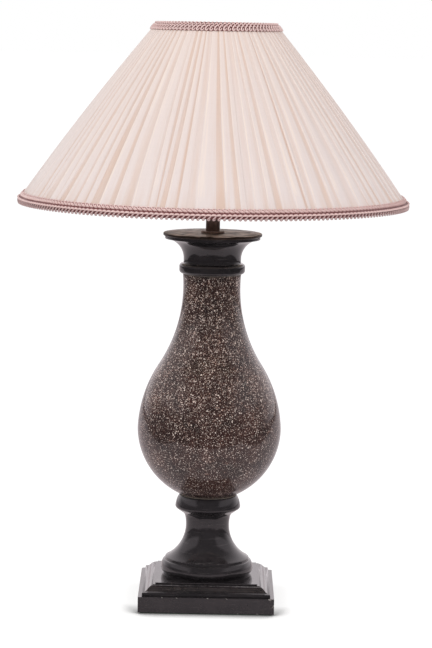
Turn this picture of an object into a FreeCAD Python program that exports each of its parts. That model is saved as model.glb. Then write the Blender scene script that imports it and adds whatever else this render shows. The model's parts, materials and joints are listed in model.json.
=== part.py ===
import FreeCAD, Part
import math
import os
import re

import Sketcher

# A column table lamp: square moulded plinth, turned socle, pear-shaped speckled body, flared neck with a
# metal plate, short stem, bayonet lampholder with bulb, and a wide pleated shade on a gimbal and carrier.
# The origin is the centre of the underside. Z points up, and the plinth's front faces -Y.

# Every size that can be set by itself, in millimetres (angles in degrees), with what it measures
SIZES = {
    # Plinth and what is inside it
    "felt_width": 156.0,
    "felt_corner": 3.0,
    "felt_thickness": 1.5,
    "block_width": 161.0,
    "block_height": 18.6,
    "block_bevel": 0.7,
    "moulding_height": 11.9,
    "moulding_setback": 3.4,
    "moulding_hollow": 5.0,
    "moulding_hollow_height": 5.36,
    "moulding_swell": 9.0,
    "moulding_swell_run": 8.6,
    "plate_step_height": 1.5,
    "plate_step_reach": 3.0,
    "recess_radius": 26.0,
    "recess_depth": 15.0,
    "cord_hole_height": 8.0,
    "bush_radius": 4.6,
    "bush_length": 9.0,
    "bush_bore": 3.5,
    "bush_flange_radius": 7.0,
    "bush_flange_thickness": 1.5,
    # Threaded rod that ties the column together, and its fastenings
    "rod_radius": 5.0,
    "rod_bore": 3.5,
    "rod_clearance": 0.2,
    "rod_tail": 2.5,
    "nut_flats": 14.0,
    "nut_thickness": 4.0,
    "spring_washer_radius": 8.5,
    "spring_washer_thickness": 1.2,
    "base_washer_radius": 19.0,
    "base_washer_thickness": 2.0,
    # Waisted socle on the plinth
    "socle_top_rise": 15.8,
    "socle_seat_radius": 52.5,
    "socle_seat_height": 2.2,
    "socle_rim_radius": 55.3,
    "socle_rim_height": 5.2,
    "socle_rim_bevel": 0.6,
    "socle_rim_step": 0.9,
    "torus_round": 13.0,
    "torus_height": 14.0,
    "socle_fillet_radius": 50.2,
    "socle_fillet_height": 2.6,
    "socle_waist_radius": 26.0,
    "socle_waist_height": 59.5,
    # Swelling ring between socle and body
    "collar_height": 20.8,
    "collar_foot_radius": 30.0,
    "collar_lip_radius": 37.4,
    "collar_lip_height": 2.6,
    "collar_lip_round": 4.2,
    "collar_radius": 39.4,
    "collar_swell_height": 5.6,
    "collar_top_radius": 36.0,
    "collar_top_round": 34.0,
    "gasket_thickness": 0.6,
    # Pear-shaped hollow body
    "vase_mouth_rise": 10.5,
    "vase_wall": 6.5,
    "belly_radius": 85.5,
    "belly_height": 79.8,
    "belly_lower_round": 92.9,
    "belly_upper_round": 128.7,
    "waist_radius": 34.0,
    "waist_height": 253.8,
    "vase_foot_thickness": 8.0,
    "vase_foot_hole": 14.0,
    "disc_thickness": 6.0,
    "disc_clearance": 0.2,
    # Flared neck, plate and stem
    "neck_radius": 34.2,
    "neck_ring_base": 1.9,
    "neck_ring_radius": 39.2,
    "neck_ring_height": 12.6,
    "neck_ring_round": 4.0,
    "flare_start": 19.4,
    "flare_round": 24.0,
    "flare_lip_radius": 56.8,
    "flare_lip_thickness": 3.54,
    "cap_plate_radius": 58.9,
    "cap_plate_thickness": 3.5,
    "cap_plate_round": 1.2,
    "flange_radius": 14.25,
    "flange_thickness": 2.4,
    "flange_bevel": 0.8,
    "riser_radius": 8.4,
    "riser_length": 26.1,
    # Bayonet lampholder with a push-bar switch
    "holder_wall": 1.2,
    "holder_radius": 17.0,
    "holder_neck_height": 4.0,
    "holder_grip": 8.0,
    "holder_shoulder_height": 13.0,
    "holder_dome_round": 11.0,
    "holder_height": 30.0,
    "switch_height": 19.0,
    "switch_bar_radius": 2.2,
    "switch_bar_short_end": 3.0,
    "switch_bar_long_end": 9.0,
    "switch_bar_round": 1.0,
    "switch_block_radius": 15.2,
    "switch_block_height": 10.0,
    "switch_block_hole": 3.0,
    "switch_contact_radius": 4.4,
    "switch_contact_width": 4.0,
    "running_clearance": 0.1,
    "insulator_height": 20.0,
    "insulator_flange_radius": 15.6,
    "insulator_flange_height": 2.0,
    "thread_radius": 14.3,
    "thread_wall": 1.0,
    "barrel_radius": 12.3,
    "barrel_wall": 1.0,
    "barrel_length": 22.0,
    "shell_shoulder": 0.8,
    "locking_ring_radius": 18.6,
    "locking_ring_height": 7.4,
    "locking_ring_lip": 1.2,
    "shade_ring_radius": 20.0,
    "shade_ring_thickness": 4.0,
    "shade_ring_round": 0.6,
    "shade_ring_seat": 4.0,
    "contact_spacing": 6.0,
    "plunger_radius": 2.1,
    "plunger_skirt": 4.0,
    "plunger_tip_radius": 1.5,
    "plunger_guide": 2.0,
    "plunger_reach": 3.0,
    "terminal_head_radius": 3.2,
    "terminal_head_height": 3.0,
    "terminal_plug_height": 5.0,
    "spring_radius": 1.65,
    "spring_wire": 0.3,
    "spring_turns": 5.0,
    # Bulb
    "bulb_cap_radius": 11.0,
    "bulb_cap_wall": 0.5,
    "bulb_cap_length": 25.0,
    "bulb_contact_radius": 2.6,
    "bulb_contact_height": 1.0,
    "bulb_insulator_height": 3.0,
    "bulb_pin_radius": 1.0,
    "bulb_pin_reach": 13.1,
    "bulb_pin_height": 7.0,
    "bulb_twist": 17.0,
    "bulb_length": 103.0,
    "bulb_radius": 30.0,
    "bulb_glass": 0.8,
    "bulb_neck_radius": 10.4,
    "bulb_seal_height": 8.0,
    "bulb_neck_top": 26.0,
    "stem_radius": 3.0,
    "stem_flare": 7.0,
    "stem_height": 36.0,
    "filament_wire": 0.4,
    "filament_half_span": 14.0,
    "filament_rise": 21.0,
    # Shade carrier over the bulb
    "carrier_ring_radius": 25.0,
    "carrier_ring_thickness": 1.6,
    "carrier_height": 126.0,
    "carrier_wire": 1.6,
    "carrier_foot_radius": 23.0,
    "carrier_bow_radius": 44.0,
    "carrier_bow_start": 42.0,
    "carrier_bow_end": 30.0,
    "carrier_end_straight": 7.0,
    "carrier_head_radius": 17.0,
    "carrier_end_bend": 5.0,
    "carrier_top_radius": 22.0,
    "carrier_top_thickness": 2.0,
    "spigot_radius": 14.4,
    "spigot_height": 5.0,
    # Gimbal that lets the shade tilt
    "lift_gap": 0.3,
    "gimbal_ring_radius": 23.0,
    "gimbal_ring_thickness": 1.6,
    "gimbal_rise": 39.0,
    "gimbal_wire": 1.75,
    "gimbal_wire_start": 16.0,
    "gimbal_wire_flat": 36.0,
    "gimbal_bend": 10.0,
    "gimbal_upright": 16.0,
    "eye_radius": 4.5,
    "eye_thickness": 2.4,
    "pin_radius": 1.5,
    "pin_head_radius": 3.0,
    "pin_head_thickness": 1.1,
    "side_gap": 0.3,
    "lug_thickness": 2.0,
    "lug_half_width": 4.5,
    "lug_round": 4.6,
    "lug_top": 9.5,
    "lug_weld_gap": 0.2,
    # Wire frame of the shade
    "pivot_drop": 8.5,
    "top_ring_radius": 69.8,
    "bottom_ring_radius": 226.8,
    "shade_drop": 206.0,
    "frame_wire": 1.5,
    "rib_wire": 1.25,
    "rib_weld_gap": 0.05,
    "rib_count": 8.0,
    # Silk, lining and braid
    "cover_gap": 0.2,
    "cover_edge": 1.2,
    "cover_crown": 2.8,
    "cover_foot_round": 4.4,
    "cover_top_round": 8.8,
    "hem_thickness": 1.0,
    "hem_reach": 3.5,
    "lining_thickness": 0.6,
    "lining_top": 5.5,
    "trim_thickness": 1.6,
    "trim_gap": 0.05,
    "trim_crown": 0.5,
    "top_trim_rise": 3.4,
    "top_trim_drop": 8.4,
    "braid_top": 10.4,
    "braid_bottom": 3.4,
    "loop_trim_top": 2.8,
    "loop_trim_drop": 4.8,
}

doc = FreeCAD.newDocument("table_lamp")
sheet = doc.addObject("Spreadsheet::Sheet", "Dims")
for row, (size_name, size) in enumerate(SIZES.items(), start=1):
    sheet.set(f"A{row}", size_name.replace("_", " "))
    sheet.set(f"B{row}", str(size))
    sheet.setAlias(f"B{row}", size_name)
doc.recompute()

nodes = []


def bound(formula):
    """A formula in plain size names, as an expression that reads the sheet."""
    return re.sub(r"[a-z]+(_[a-z]+)+", lambda name: "Dims." + name.group(0), formula)


def value(formula):
    """What a formula comes to with the sizes as they stand."""
    answer = sheet.evalExpression(bound(formula))
    return float(getattr(answer, "Value", answer))


def bind(thing, prop, formula):
    """Tie one property of an object to a formula."""
    thing.setExpression(prop, bound(formula))


def seat(thing, up="0", turn=0.0):
    """Stand a piece at its height, turned about the column's axis."""
    thing.Placement = FreeCAD.Placement(
        FreeCAD.Vector(0, 0, value(up)), FreeCAD.Rotation(FreeCAD.Vector(0, 0, 1), turn)
    )
    bind(thing, "Placement.Base.z", up)
    return thing


def keep(thing, label):
    """Name a finished piece and put it on the list of pieces to write."""
    thing.Label = label
    nodes.append(thing)
    return thing


def new_body(label):
    body = doc.addObject("PartDesign::Body", label)
    body.AllowCompound = True
    return body


def origin_part(body, role):
    return next(part for part in body.Origin.OriginFeatures if part.Role == role)


def new_sketch(body, name, plane="XZ_Plane"):
    sketch = body.newObject("Sketcher::SketchObject", name)
    sketch.AttachmentSupport = [(origin_part(body, plane), "")]
    sketch.MapMode = "FlatFace"
    return sketch


def drive(sketch, kind, name, formula, *places):
    """Add one driving dimension to a sketch and tie it to a formula."""
    index = sketch.addConstraint(Sketcher.Constraint(kind, *places, value(formula)))
    sketch.renameConstraint(index, name)
    bind(sketch, f"Constraints.{name}", formula)


def pin_point(sketch, name, edge, end, point):
    """Hold one end of an edge at (across, up) from the sketch's origin."""
    drive(sketch, "DistanceX", name + "_across", point[0], -1, 1, edge, end)
    drive(sketch, "DistanceY", name + "_up", point[1], -1, 1, edge, end)


def arc_between(start, end, radius, swell):
    """Short arc from start to end, its centre left of the way for a swelling and right for a hollow."""
    along = end - start
    middle = (start + end) / 2
    left = FreeCAD.Vector(-along.y, along.x, 0).normalize()
    reach = math.sqrt(max(radius ** 2 - along.Length ** 2 / 4, 0.0))
    centre = middle + left * (reach if swell else -reach)
    first, last = (start, end) if swell else (end, start)
    angles = [math.atan2(point.y - centre.y, point.x - centre.x) for point in (first, last)]
    return Part.ArcOfCircle(Part.Circle(centre, FreeCAD.Vector(0, 0, 1), radius), *angles)


def outline(sketch, corners):
    """Closed outline, counter-clockwise. A corner is (across, up), and with (shape, radius) after them
    the edge that leaves it is an arc: a swell stands out from the piece, a hollow cuts into it."""
    points = [FreeCAD.Vector(value(corner[0]), value(corner[1]), 0) for corner in corners]
    edges = []
    for number, corner in enumerate(corners):
        start, end = points[number], points[(number + 1) % len(points)]
        if len(corner) == 2:
            edges.append((sketch.addGeometry(Part.LineSegment(start, end), False), 1, 2))
            continue
        swell = corner[2] == "swell"
        arc = sketch.addGeometry(arc_between(start, end, value(corner[3]), swell), False)
        edges.append((arc, 1, 2) if swell else (arc, 2, 1))
    for number, corner in enumerate(corners):
        edge, start, end = edges[number]
        following = edges[(number + 1) % len(edges)]
        sketch.addConstraint(Sketcher.Constraint("Coincident", edge, end, following[0], following[1]))
        pin_point(sketch, f"corner_{number}", edge, start, corner)
        if len(corner) > 2:
            drive(sketch, "Radius", f"round_{number}", corner[3], edge)
    return sketch


def circle(sketch, centre, radius, name="circle"):
    """A circle with its centre and radius tied to formulas."""
    middle = FreeCAD.Vector(value(centre[0]), value(centre[1]), 0)
    edge = sketch.addGeometry(Part.Circle(middle, FreeCAD.Vector(0, 0, 1), value(radius)), False)
    pin_point(sketch, name, edge, 3, centre)
    drive(sketch, "Radius", name + "_radius", radius, edge)
    return sketch


def revolve(body, sketch, axis="V_Axis"):
    turning = body.newObject("PartDesign::Revolution", body.Name + "_turning")
    turning.Profile = sketch
    turning.ReferenceAxis = (sketch, [axis])
    turning.Angle = 360
    body.Tip = turning
    return body


def turned(label, corners, axis="V_Axis"):
    """A piece turned about the column's axis, or about its own level axis along X."""
    body = new_body(label)
    return revolve(body, outline(new_sketch(body, label + "_outline"), corners), axis)


def pad(body, sketch, length, both_ways=False):
    block = body.newObject("PartDesign::Pad", sketch.Name + "_pad")
    block.Profile = sketch
    block.Midplane = both_ways
    bind(block, "Length", length)
    body.Tip = block
    return body


def pocket(body, sketch, length, both_ways=False):
    """Cut a sketch out of a body, upwards from its plane or the same distance to both sides."""
    doc.recompute()
    before = body.Shape.Volume
    cut = body.newObject("PartDesign::Pocket", sketch.Name + "_cut")
    cut.Profile = sketch
    cut.Midplane = both_ways
    cut.Reversed = not both_ways
    bind(cut, "Length", length)
    body.Tip = cut
    doc.recompute()
    if body.Shape.Volume >= before:
        raise ValueError(f"{sketch.Name} cuts nothing")
    return body


def bent_path(sketch, corners, bend):
    """Open path of straight runs through the corners, with a tangent arc of the bend radius at each."""
    points = [FreeCAD.Vector(value(across), value(up), 0) for across, up in corners]
    radius = value(bend)
    marks = [sketch.addGeometry(Part.Point(point), True) for point in points]
    for number, corner in enumerate(corners):
        pin_point(sketch, f"corner_{number}", marks[number], 1, corner)
    trims = [0.0]
    for before, point, after in zip(points, points[1:], points[2:]):
        trims.append(radius * math.tan((point - before).getAngle(after - point) / 2))
    trims.append(0.0)
    runs = []
    for number in range(len(points) - 1):
        along = (points[number + 1] - points[number]).normalize()
        start = points[number] + along * trims[number]
        end = points[number + 1] - along * trims[number + 1]
        run = sketch.addGeometry(Part.LineSegment(start, end), False)
        runs.append((run, start, end))
        for mark, place in ((number, 1), (number + 1, 2)):
            if mark in (0, len(points) - 1):
                sketch.addConstraint(Sketcher.Constraint("Coincident", run, place, marks[mark], 1))
            else:
                sketch.addConstraint(Sketcher.Constraint("PointOnObject", marks[mark], 1, run))
    for number, (run, following) in enumerate(zip(runs, runs[1:]), start=1):
        before = points[number] - points[number - 1]
        after = points[number + 1] - points[number]
        swell = before.x * after.y - before.y * after.x > 0
        arc = sketch.addGeometry(arc_between(run[2], following[1], radius, swell), False)
        first, last = (1, 2) if swell else (2, 1)
        sketch.addConstraint(Sketcher.Constraint("Tangent", run[0], 2, arc, first))
        sketch.addConstraint(Sketcher.Constraint("Tangent", arc, last, following[0], 1))
        drive(sketch, "Radius", f"bend_{number}", bend, arc)
    return sketch


def wire_along(body, path, wire):
    """Round wire along a path. Its section starts square to the path's first run."""
    doc.recompute()
    section = body.newObject("Sketcher::SketchObject", body.Name + "_section")
    section.AttachmentSupport = [(path, "Edge1")]
    section.MapMode = "NormalToEdge"
    section.MapPathParameter = 0.0
    circle(section, ("0", "0"), wire)
    doc.recompute()
    pipe = body.newObject("PartDesign::AdditivePipe", body.Name + "_pipe")
    pipe.Profile = section
    pipe.Spine = (path, [f"Edge{number}" for number in range(1, len(path.Shape.Edges) + 1)])
    body.Tip = pipe
    return pipe


def bent_wire(label, corners, bend, wire):
    """Wire with rounded bends in the upright plane through X."""
    body = new_body(label)
    wire_along(body, bent_path(new_sketch(body, label + "_path"), corners, bend), wire)
    return body


def round_edges(body, radius, chosen, name="round"):
    """Fillet the edges that a test picks by their place."""
    doc.recompute()
    base = body.Tip
    edges = [
        f"Edge{number}" for number, edge in enumerate(base.Shape.Edges, start=1) if chosen(edge.CenterOfMass)
    ]
    fillet = body.newObject("PartDesign::Fillet", f"{body.Name}_{name}")
    fillet.Base = (base, edges)
    bind(fillet, "Radius", radius)
    body.Tip = fillet
    return body


def around(body, feature, count):
    """Repeat a feature evenly about the column's axis."""
    doc.recompute()
    pattern = body.newObject("PartDesign::PolarPattern", body.Name + "_pattern")
    pattern.Originals = [feature]
    pattern.Axis = (origin_part(body, "Z_Axis"), [""])
    pattern.Angle = 360
    pattern.Occurrences = round(value(count))
    bind(pattern, "Occurrences", count)
    body.Tip = pattern
    return body


def washer(label, bore, radius, thickness):
    return turned(label, [(bore, "0"), (radius, "0"), (radius, thickness), (bore, thickness)])


def cylinder(label, radius, height, across="0", deep="0", up="0", turn=None):
    """Plain round tool or pin. It stands upright unless turn gives the axis and angle it is laid over by."""
    rod = doc.addObject("Part::Cylinder", label)
    bind(rod, "Radius", radius)
    bind(rod, "Height", height)
    if turn:
        rod.Placement.Rotation = FreeCAD.Rotation(FreeCAD.Vector(*turn[0]), turn[1])
    for letter, formula in zip("xyz", (across, deep, up)):
        bind(rod, f"Placement.Base.{letter}", formula)
    return rod


def cut_away(name, base, tools):
    """One solid with others taken out of it."""
    cutter = tools[0]
    if len(tools) > 1:
        cutter = doc.addObject("Part::MultiFuse", name + "_cutters")
        cutter.Shapes = tools
    result = doc.addObject("Part::Cut", name)
    result.Base = base
    result.Tool = cutter
    return result


def group(name, pieces):
    """Separate solids of the same kind that share one node."""
    bundle = doc.addObject("Part::Compound", name)
    bundle.Links = pieces
    return bundle


# Overall heights of the column's shaped pieces
PLINTH_HEIGHT = "(block_height + moulding_height + plate_step_height)"
SOCLE_HEIGHT = "(socle_waist_height + socle_top_rise)"
VASE_HEIGHT = "(waist_height + vase_mouth_rise)"
FLARE_SHORTFALL = "(neck_radius + flare_round - flare_lip_radius)"
FLARE_LIP_FOOT = f"(flare_start + sqrt(flare_round * flare_round - {FLARE_SHORTFALL} * {FLARE_SHORTFALL}))"
NECK_HEIGHT = f"({FLARE_LIP_FOOT} + flare_lip_thickness)"

# Heights at which the pieces of the column stand on each other
PLINTH_FOOT = "felt_thickness"
PLINTH_TOP = f"({PLINTH_FOOT} + {PLINTH_HEIGHT})"
COLLAR_FOOT = f"({PLINTH_TOP} + {SOCLE_HEIGHT})"
COLLAR_TOP = f"({COLLAR_FOOT} + collar_height)"
VASE_FOOT = f"({COLLAR_TOP} + gasket_thickness)"
VASE_TOP = f"({VASE_FOOT} + {VASE_HEIGHT})"
NECK_FOOT = f"({VASE_TOP} + gasket_thickness)"
CAP_PLATE_FOOT = f"({NECK_FOOT} + {NECK_HEIGHT})"
FLANGE_FOOT = f"({CAP_PLATE_FOOT} + cap_plate_thickness)"
RISER_FOOT = f"({FLANGE_FOOT} + flange_thickness)"
HOLDER_FOOT = f"({RISER_FOOT} + riser_length)"
ROD_HOLE = "(rod_radius + rod_clearance)"


def make_base():
    """Baize, moulded plinth, cord bush and the fastenings in the plinth's recess."""
    felt = new_body("base_felt")
    half = "felt_width / 2"
    square = [(f"-{half}", f"-{half}"), (half, f"-{half}"), (half, half), (f"-{half}", half)]
    pad(felt, outline(new_sketch(felt, "felt_outline", "XY_Plane"), square), "felt_thickness")
    away = value("felt_corner")
    round_edges(felt, "felt_corner", lambda place: min(abs(place.x), abs(place.y)) > away)
    keep(felt, "base_felt")

    keep(seat(plinth(), PLINTH_FOOT), "plinth")

    bush = turned("bush_blank", [
        ("bush_bore", "0"), ("bush_flange_radius", "0"), ("bush_flange_radius", "bush_flange_thickness"),
        ("bush_radius", "bush_flange_thickness"), ("bush_radius", "bush_flange_thickness + bush_length"),
        ("bush_bore", "bush_flange_thickness + bush_length"),
    ])
    bush.Placement.Rotation = FreeCAD.Rotation(FreeCAD.Vector(1, 0, 0), 90)
    bind(bush, "Placement.Base.y", "block_width / 2 + bush_flange_thickness")
    bind(bush, "Placement.Base.z", f"{PLINTH_FOOT} + cord_hole_height")
    keep(bush, "cord_bush")

    under = f"{PLINTH_FOOT} + recess_depth"
    washer_foot = f"({under} - base_washer_thickness)"
    spring_foot = f"({washer_foot} - spring_washer_thickness)"
    nut_foot = f"({spring_foot} - nut_thickness)"
    keep(seat(washer("base_washer", ROD_HOLE, "base_washer_radius", "base_washer_thickness"),
              washer_foot), "base_washer")
    keep(seat(washer("spring_washer", ROD_HOLE, "spring_washer_radius", "spring_washer_thickness"),
              spring_foot), "spring_washer")
    keep(seat(hex_nut(), nut_foot), "base_nut")

    rod_foot = f"({nut_foot} - rod_tail)"
    rod_length = f"({HOLDER_FOOT} + holder_grip - {rod_foot})"
    keep(seat(washer("lamp_rod", "rod_bore", "rod_radius", rod_length), rod_foot), "lamp_rod")


def plinth_run(name, plane):
    """The plinth's section carried straight along one side, long enough for the block's width."""
    foot = "block_width / 2"
    ledge = "(block_width / 2 - moulding_setback)"
    waist = f"({ledge} - moulding_hollow)"
    step = f"({waist} - moulding_swell_run)"
    plate = f"({step} - plate_step_reach)"
    top_step = "(block_height + moulding_height)"
    bend = "(block_height + moulding_hollow_height)"
    right = [
        (foot, "0"), (foot, "block_height - block_bevel"), (f"{foot} - block_bevel", "block_height"),
        (ledge, "block_height", "hollow", "moulding_hollow"),
        (waist, bend, "swell", "moulding_swell"),
        (step, top_step), (plate, top_step), (plate, PLINTH_HEIGHT),
    ]
    mirrored = []
    for number in range(len(right) - 1, -1, -1):
        across, up = right[number][:2]
        shape = right[number - 1][2:] if number > 0 else ()
        mirrored.append((f"-({across})", up, *shape))
    body = new_body(name)
    section = outline(new_sketch(body, name + "_section", plane), right + mirrored)
    return pad(body, section, "2 * block_width", both_ways=True)


def plinth():
    """Square block with an ogee moulding, mitred where its two runs cross."""
    crossing = doc.addObject("Part::Common", "plinth_blank")
    crossing.Base = plinth_run("plinth_run_x", "YZ_Plane")
    crossing.Tool = plinth_run("plinth_run_y", "XZ_Plane")
    recess = cylinder("plinth_recess", "recess_radius", "recess_depth")
    rod_hole = cylinder("plinth_rod_hole", ROD_HOLE, PLINTH_HEIGHT)
    cord_hole = cylinder("plinth_cord_hole", "bush_radius", "block_width", up="cord_hole_height",
                         turn=((1, 0, 0), -90))
    return cut_away("plinth_cut", crossing, [recess, rod_hole, cord_hole])


def hex_nut():
    """Hexagon nut on the rod's lower end."""
    body = new_body("base_nut")
    sketch = new_sketch(body, "nut_outline", "XY_Plane")
    corners = []
    for side in range(6):
        reach = "nut_flats / 2 / cos(30)"
        corners.append((f"{reach} * cos({60 * side})", f"{reach} * sin({60 * side})"))
    outline(sketch, corners)
    circle(sketch, ("0", "0"), "rod_radius", "bore")
    return pad(body, sketch, "nut_thickness")


def make_column():
    """Socle, collar, body and neck, each bored for the rod, with the thin pads between them."""
    keep(seat(socle(), PLINTH_TOP), "socle")
    collar = turned("body_collar", [
        (ROD_HOLE, "0"), ("collar_foot_radius", "0"),
        ("collar_lip_radius", "collar_lip_height", "swell", "collar_lip_round"),
        ("collar_radius", "collar_swell_height", "swell", "collar_top_round"),
        ("collar_top_radius", "collar_height"), (ROD_HOLE, "collar_height"),
    ])
    keep(seat(collar, COLLAR_FOOT), "body_collar")
    keep(seat(washer("lower_gasket", ROD_HOLE, "collar_top_radius - gasket_thickness", "gasket_thickness"),
              COLLAR_TOP), "lower_gasket")
    keep(seat(vase(), VASE_FOOT), "vase_body")
    lower_disc = washer("lower_centring_disc", ROD_HOLE, "vase_foot_hole - disc_clearance", "disc_thickness")
    keep(seat(lower_disc, VASE_FOOT), "lower_centring_disc")
    upper_disc = washer("upper_centring_disc", ROD_HOLE, "waist_radius - vase_wall - disc_clearance",
                        "disc_thickness")
    keep(seat(upper_disc, f"{VASE_TOP} - disc_thickness"), "upper_centring_disc")
    keep(seat(washer("neck_gasket", ROD_HOLE, f"{VASE_TOP_RADIUS} - gasket_thickness", "gasket_thickness"),
              VASE_TOP), "neck_gasket")
    keep(seat(neck_mount(), NECK_FOOT), "neck_mount")


def socle():
    """Waisted foot: seat, rim, rounded torus, fillet and one long hollow up to the collar."""
    rim_top = "(socle_seat_height + socle_rim_height)"
    torus_top = f"({rim_top} + torus_height)"
    fillet_top = f"({torus_top} + socle_fillet_height)"
    torus_foot = "(socle_rim_radius - socle_rim_step)"
    # The hollow is upright at the waist and passes through the fillet's upper edge
    rise = f"(socle_waist_height - {fillet_top})"
    reach = "(socle_fillet_radius - socle_waist_radius)"
    hollow = f"(({rise} * {rise} + {reach} * {reach}) / (2 * {reach}))"
    back = f"sqrt({hollow} * {hollow} - socle_top_rise * socle_top_rise)"
    top_radius = f"(socle_waist_radius + {hollow} - {back})"
    return turned("socle", [
        (ROD_HOLE, "0"), ("socle_seat_radius", "0"), ("socle_seat_radius", "socle_seat_height"),
        ("socle_rim_radius - socle_rim_bevel", "socle_seat_height"),
        ("socle_rim_radius", "socle_seat_height + socle_rim_bevel"),
        ("socle_rim_radius", f"{rim_top} - socle_rim_bevel"),
        ("socle_rim_radius - socle_rim_bevel", rim_top),
        (torus_foot, rim_top, "swell", "torus_round"),
        ("socle_fillet_radius", torus_top), ("socle_fillet_radius", fillet_top, "hollow", hollow),
        (top_radius, SOCLE_HEIGHT), (ROD_HOLE, SOCLE_HEIGHT),
    ])


# The body's neck and belly are arcs that meet without a corner
BELLY_REACH = "(belly_radius - waist_radius)"
BELLY_TO_WAIST = "(waist_height - belly_height)"
ARC_SUM = f"(({BELLY_REACH} * {BELLY_REACH} + {BELLY_TO_WAIST} * {BELLY_TO_WAIST}) / (2 * {BELLY_REACH}))"
NECK_ROUND = f"({ARC_SUM} - belly_upper_round)"
BELLY_CENTRE = "(belly_radius - belly_upper_round)"
MEETING_RISE = f"({BELLY_TO_WAIST} / {ARC_SUM})"
MEETING_REACH = f"(({ARC_SUM} - {BELLY_REACH}) / {ARC_SUM})"
NECK_BACK = f"sqrt({NECK_ROUND} * {NECK_ROUND} - vase_mouth_rise * vase_mouth_rise)"
VASE_TOP_RADIUS = f"(waist_radius + {NECK_ROUND} - {NECK_BACK})"
MOUTH_RADIUS = f"({VASE_TOP_RADIUS} - vase_wall)"


def belly_at(height, inset):
    """Radius of the lower belly at a height, or of its inner face when inset by the wall."""
    arc = f"(belly_lower_round - {inset})"
    drop = f"(belly_height - {height})"
    return f"(belly_radius - belly_lower_round + sqrt({arc} * {arc} - {drop} * {drop}))"


def meeting_point(inset):
    """Where the belly's upper arc runs into the neck's arc."""
    arc = f"(belly_upper_round - {inset})"
    return (f"{BELLY_CENTRE} + {arc} * {MEETING_REACH}", f"belly_height + {arc} * {MEETING_RISE}")


def vase():
    """Hollow body of even wall, open at the foot and the mouth for its centring discs."""
    outer_meet = meeting_point("0")
    inner_meet = meeting_point("vase_wall")
    inner_foot = belly_at("vase_foot_thickness", "vase_wall")
    return turned("vase_body", [
        ("vase_foot_hole", "0"), (belly_at("0", "0"), "0", "swell", "belly_lower_round"),
        ("belly_radius", "belly_height", "swell", "belly_upper_round"),
        (*outer_meet, "hollow", NECK_ROUND),
        (VASE_TOP_RADIUS, VASE_HEIGHT), (MOUTH_RADIUS, VASE_HEIGHT),
        ("waist_radius - vase_wall", "waist_height", "swell", f"{NECK_ROUND} + vase_wall"),
        (*inner_meet, "hollow", "belly_upper_round - vase_wall"),
        ("belly_radius - vase_wall", "belly_height", "hollow", "belly_lower_round - vase_wall"),
        (inner_foot, "vase_foot_thickness"), ("vase_foot_hole", "vase_foot_thickness"),
    ])


def neck_mount():
    """Short neck with a half-round ring and a wide hollow flare under the plate."""
    ring_top = "(neck_ring_base + neck_ring_height)"
    ring_side = "(neck_ring_radius - neck_ring_round)"
    return turned("neck_mount", [
        (ROD_HOLE, "0"), ("neck_radius", "0"), ("neck_radius", "neck_ring_base"),
        (ring_side, "neck_ring_base", "swell", "neck_ring_round"),
        ("neck_ring_radius", "neck_ring_base + neck_ring_round"),
        ("neck_ring_radius", f"{ring_top} - neck_ring_round", "swell", "neck_ring_round"),
        (ring_side, ring_top), ("neck_radius", ring_top),
        ("neck_radius", "flare_start", "hollow", "flare_round"),
        ("flare_lip_radius", FLARE_LIP_FOOT), ("flare_lip_radius", NECK_HEIGHT), (ROD_HOLE, NECK_HEIGHT),
    ])


def make_stem():
    """Metal plate on the neck, the stem's flange and the tube that covers the rod."""
    plate = washer("cap_plate", ROD_HOLE, "cap_plate_radius", "cap_plate_thickness")
    rim = value("cap_plate_radius - cap_plate_round")
    round_edges(plate, "cap_plate_round", lambda place: edge_reach(plate, place) > rim)
    keep(seat(plate, CAP_PLATE_FOOT), "cap_plate")
    flange = turned("stem_flange", [
        (ROD_HOLE, "0"), ("flange_radius", "0"), ("flange_radius", "flange_thickness - flange_bevel"),
        ("flange_radius - flange_bevel", "flange_thickness"), (ROD_HOLE, "flange_thickness"),
    ])
    keep(seat(flange, FLANGE_FOOT), "stem_flange")
    keep(seat(washer("riser_tube", ROD_HOLE, "riser_radius", "riser_length"), RISER_FOOT), "riser_tube")


def edge_reach(body, place):
    """How far out the nearest edge to a place runs from the axis."""
    edges = body.Tip.Shape.Edges
    edge = min(edges, key=lambda one: (one.CenterOfMass - place).Length)
    return edge.BoundBox.XMax


# Heights inside the lampholder, counted from its own foot. The locking ring's lip lies on the shell's
# flange, which is as thick as the lip and stands on the cap.
LOCKING_RING_FOOT = "(holder_height + 2 * locking_ring_lip - locking_ring_height)"
INSULATOR_FOOT = "(holder_height - insulator_flange_height)"
INSULATOR_TOP = f"({INSULATOR_FOOT} + insulator_height)"
SHADE_RING_FOOT = "(holder_height + shade_ring_seat)"
CARRIER_RING_FOOT = f"({SHADE_RING_FOOT} + shade_ring_thickness + running_clearance)"
UPPER_RING_FOOT = f"({CARRIER_RING_FOOT} + carrier_ring_thickness + running_clearance)"
CONTACT_HEIGHT = f"({INSULATOR_TOP} + plunger_reach)"
PLUNGER_BORE = "(plunger_radius + running_clearance)"
PLUNGER_TIP_BORE = "(plunger_tip_radius + running_clearance)"


def above_holder(height):
    return f"({HOLDER_FOOT} + {height})"


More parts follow.
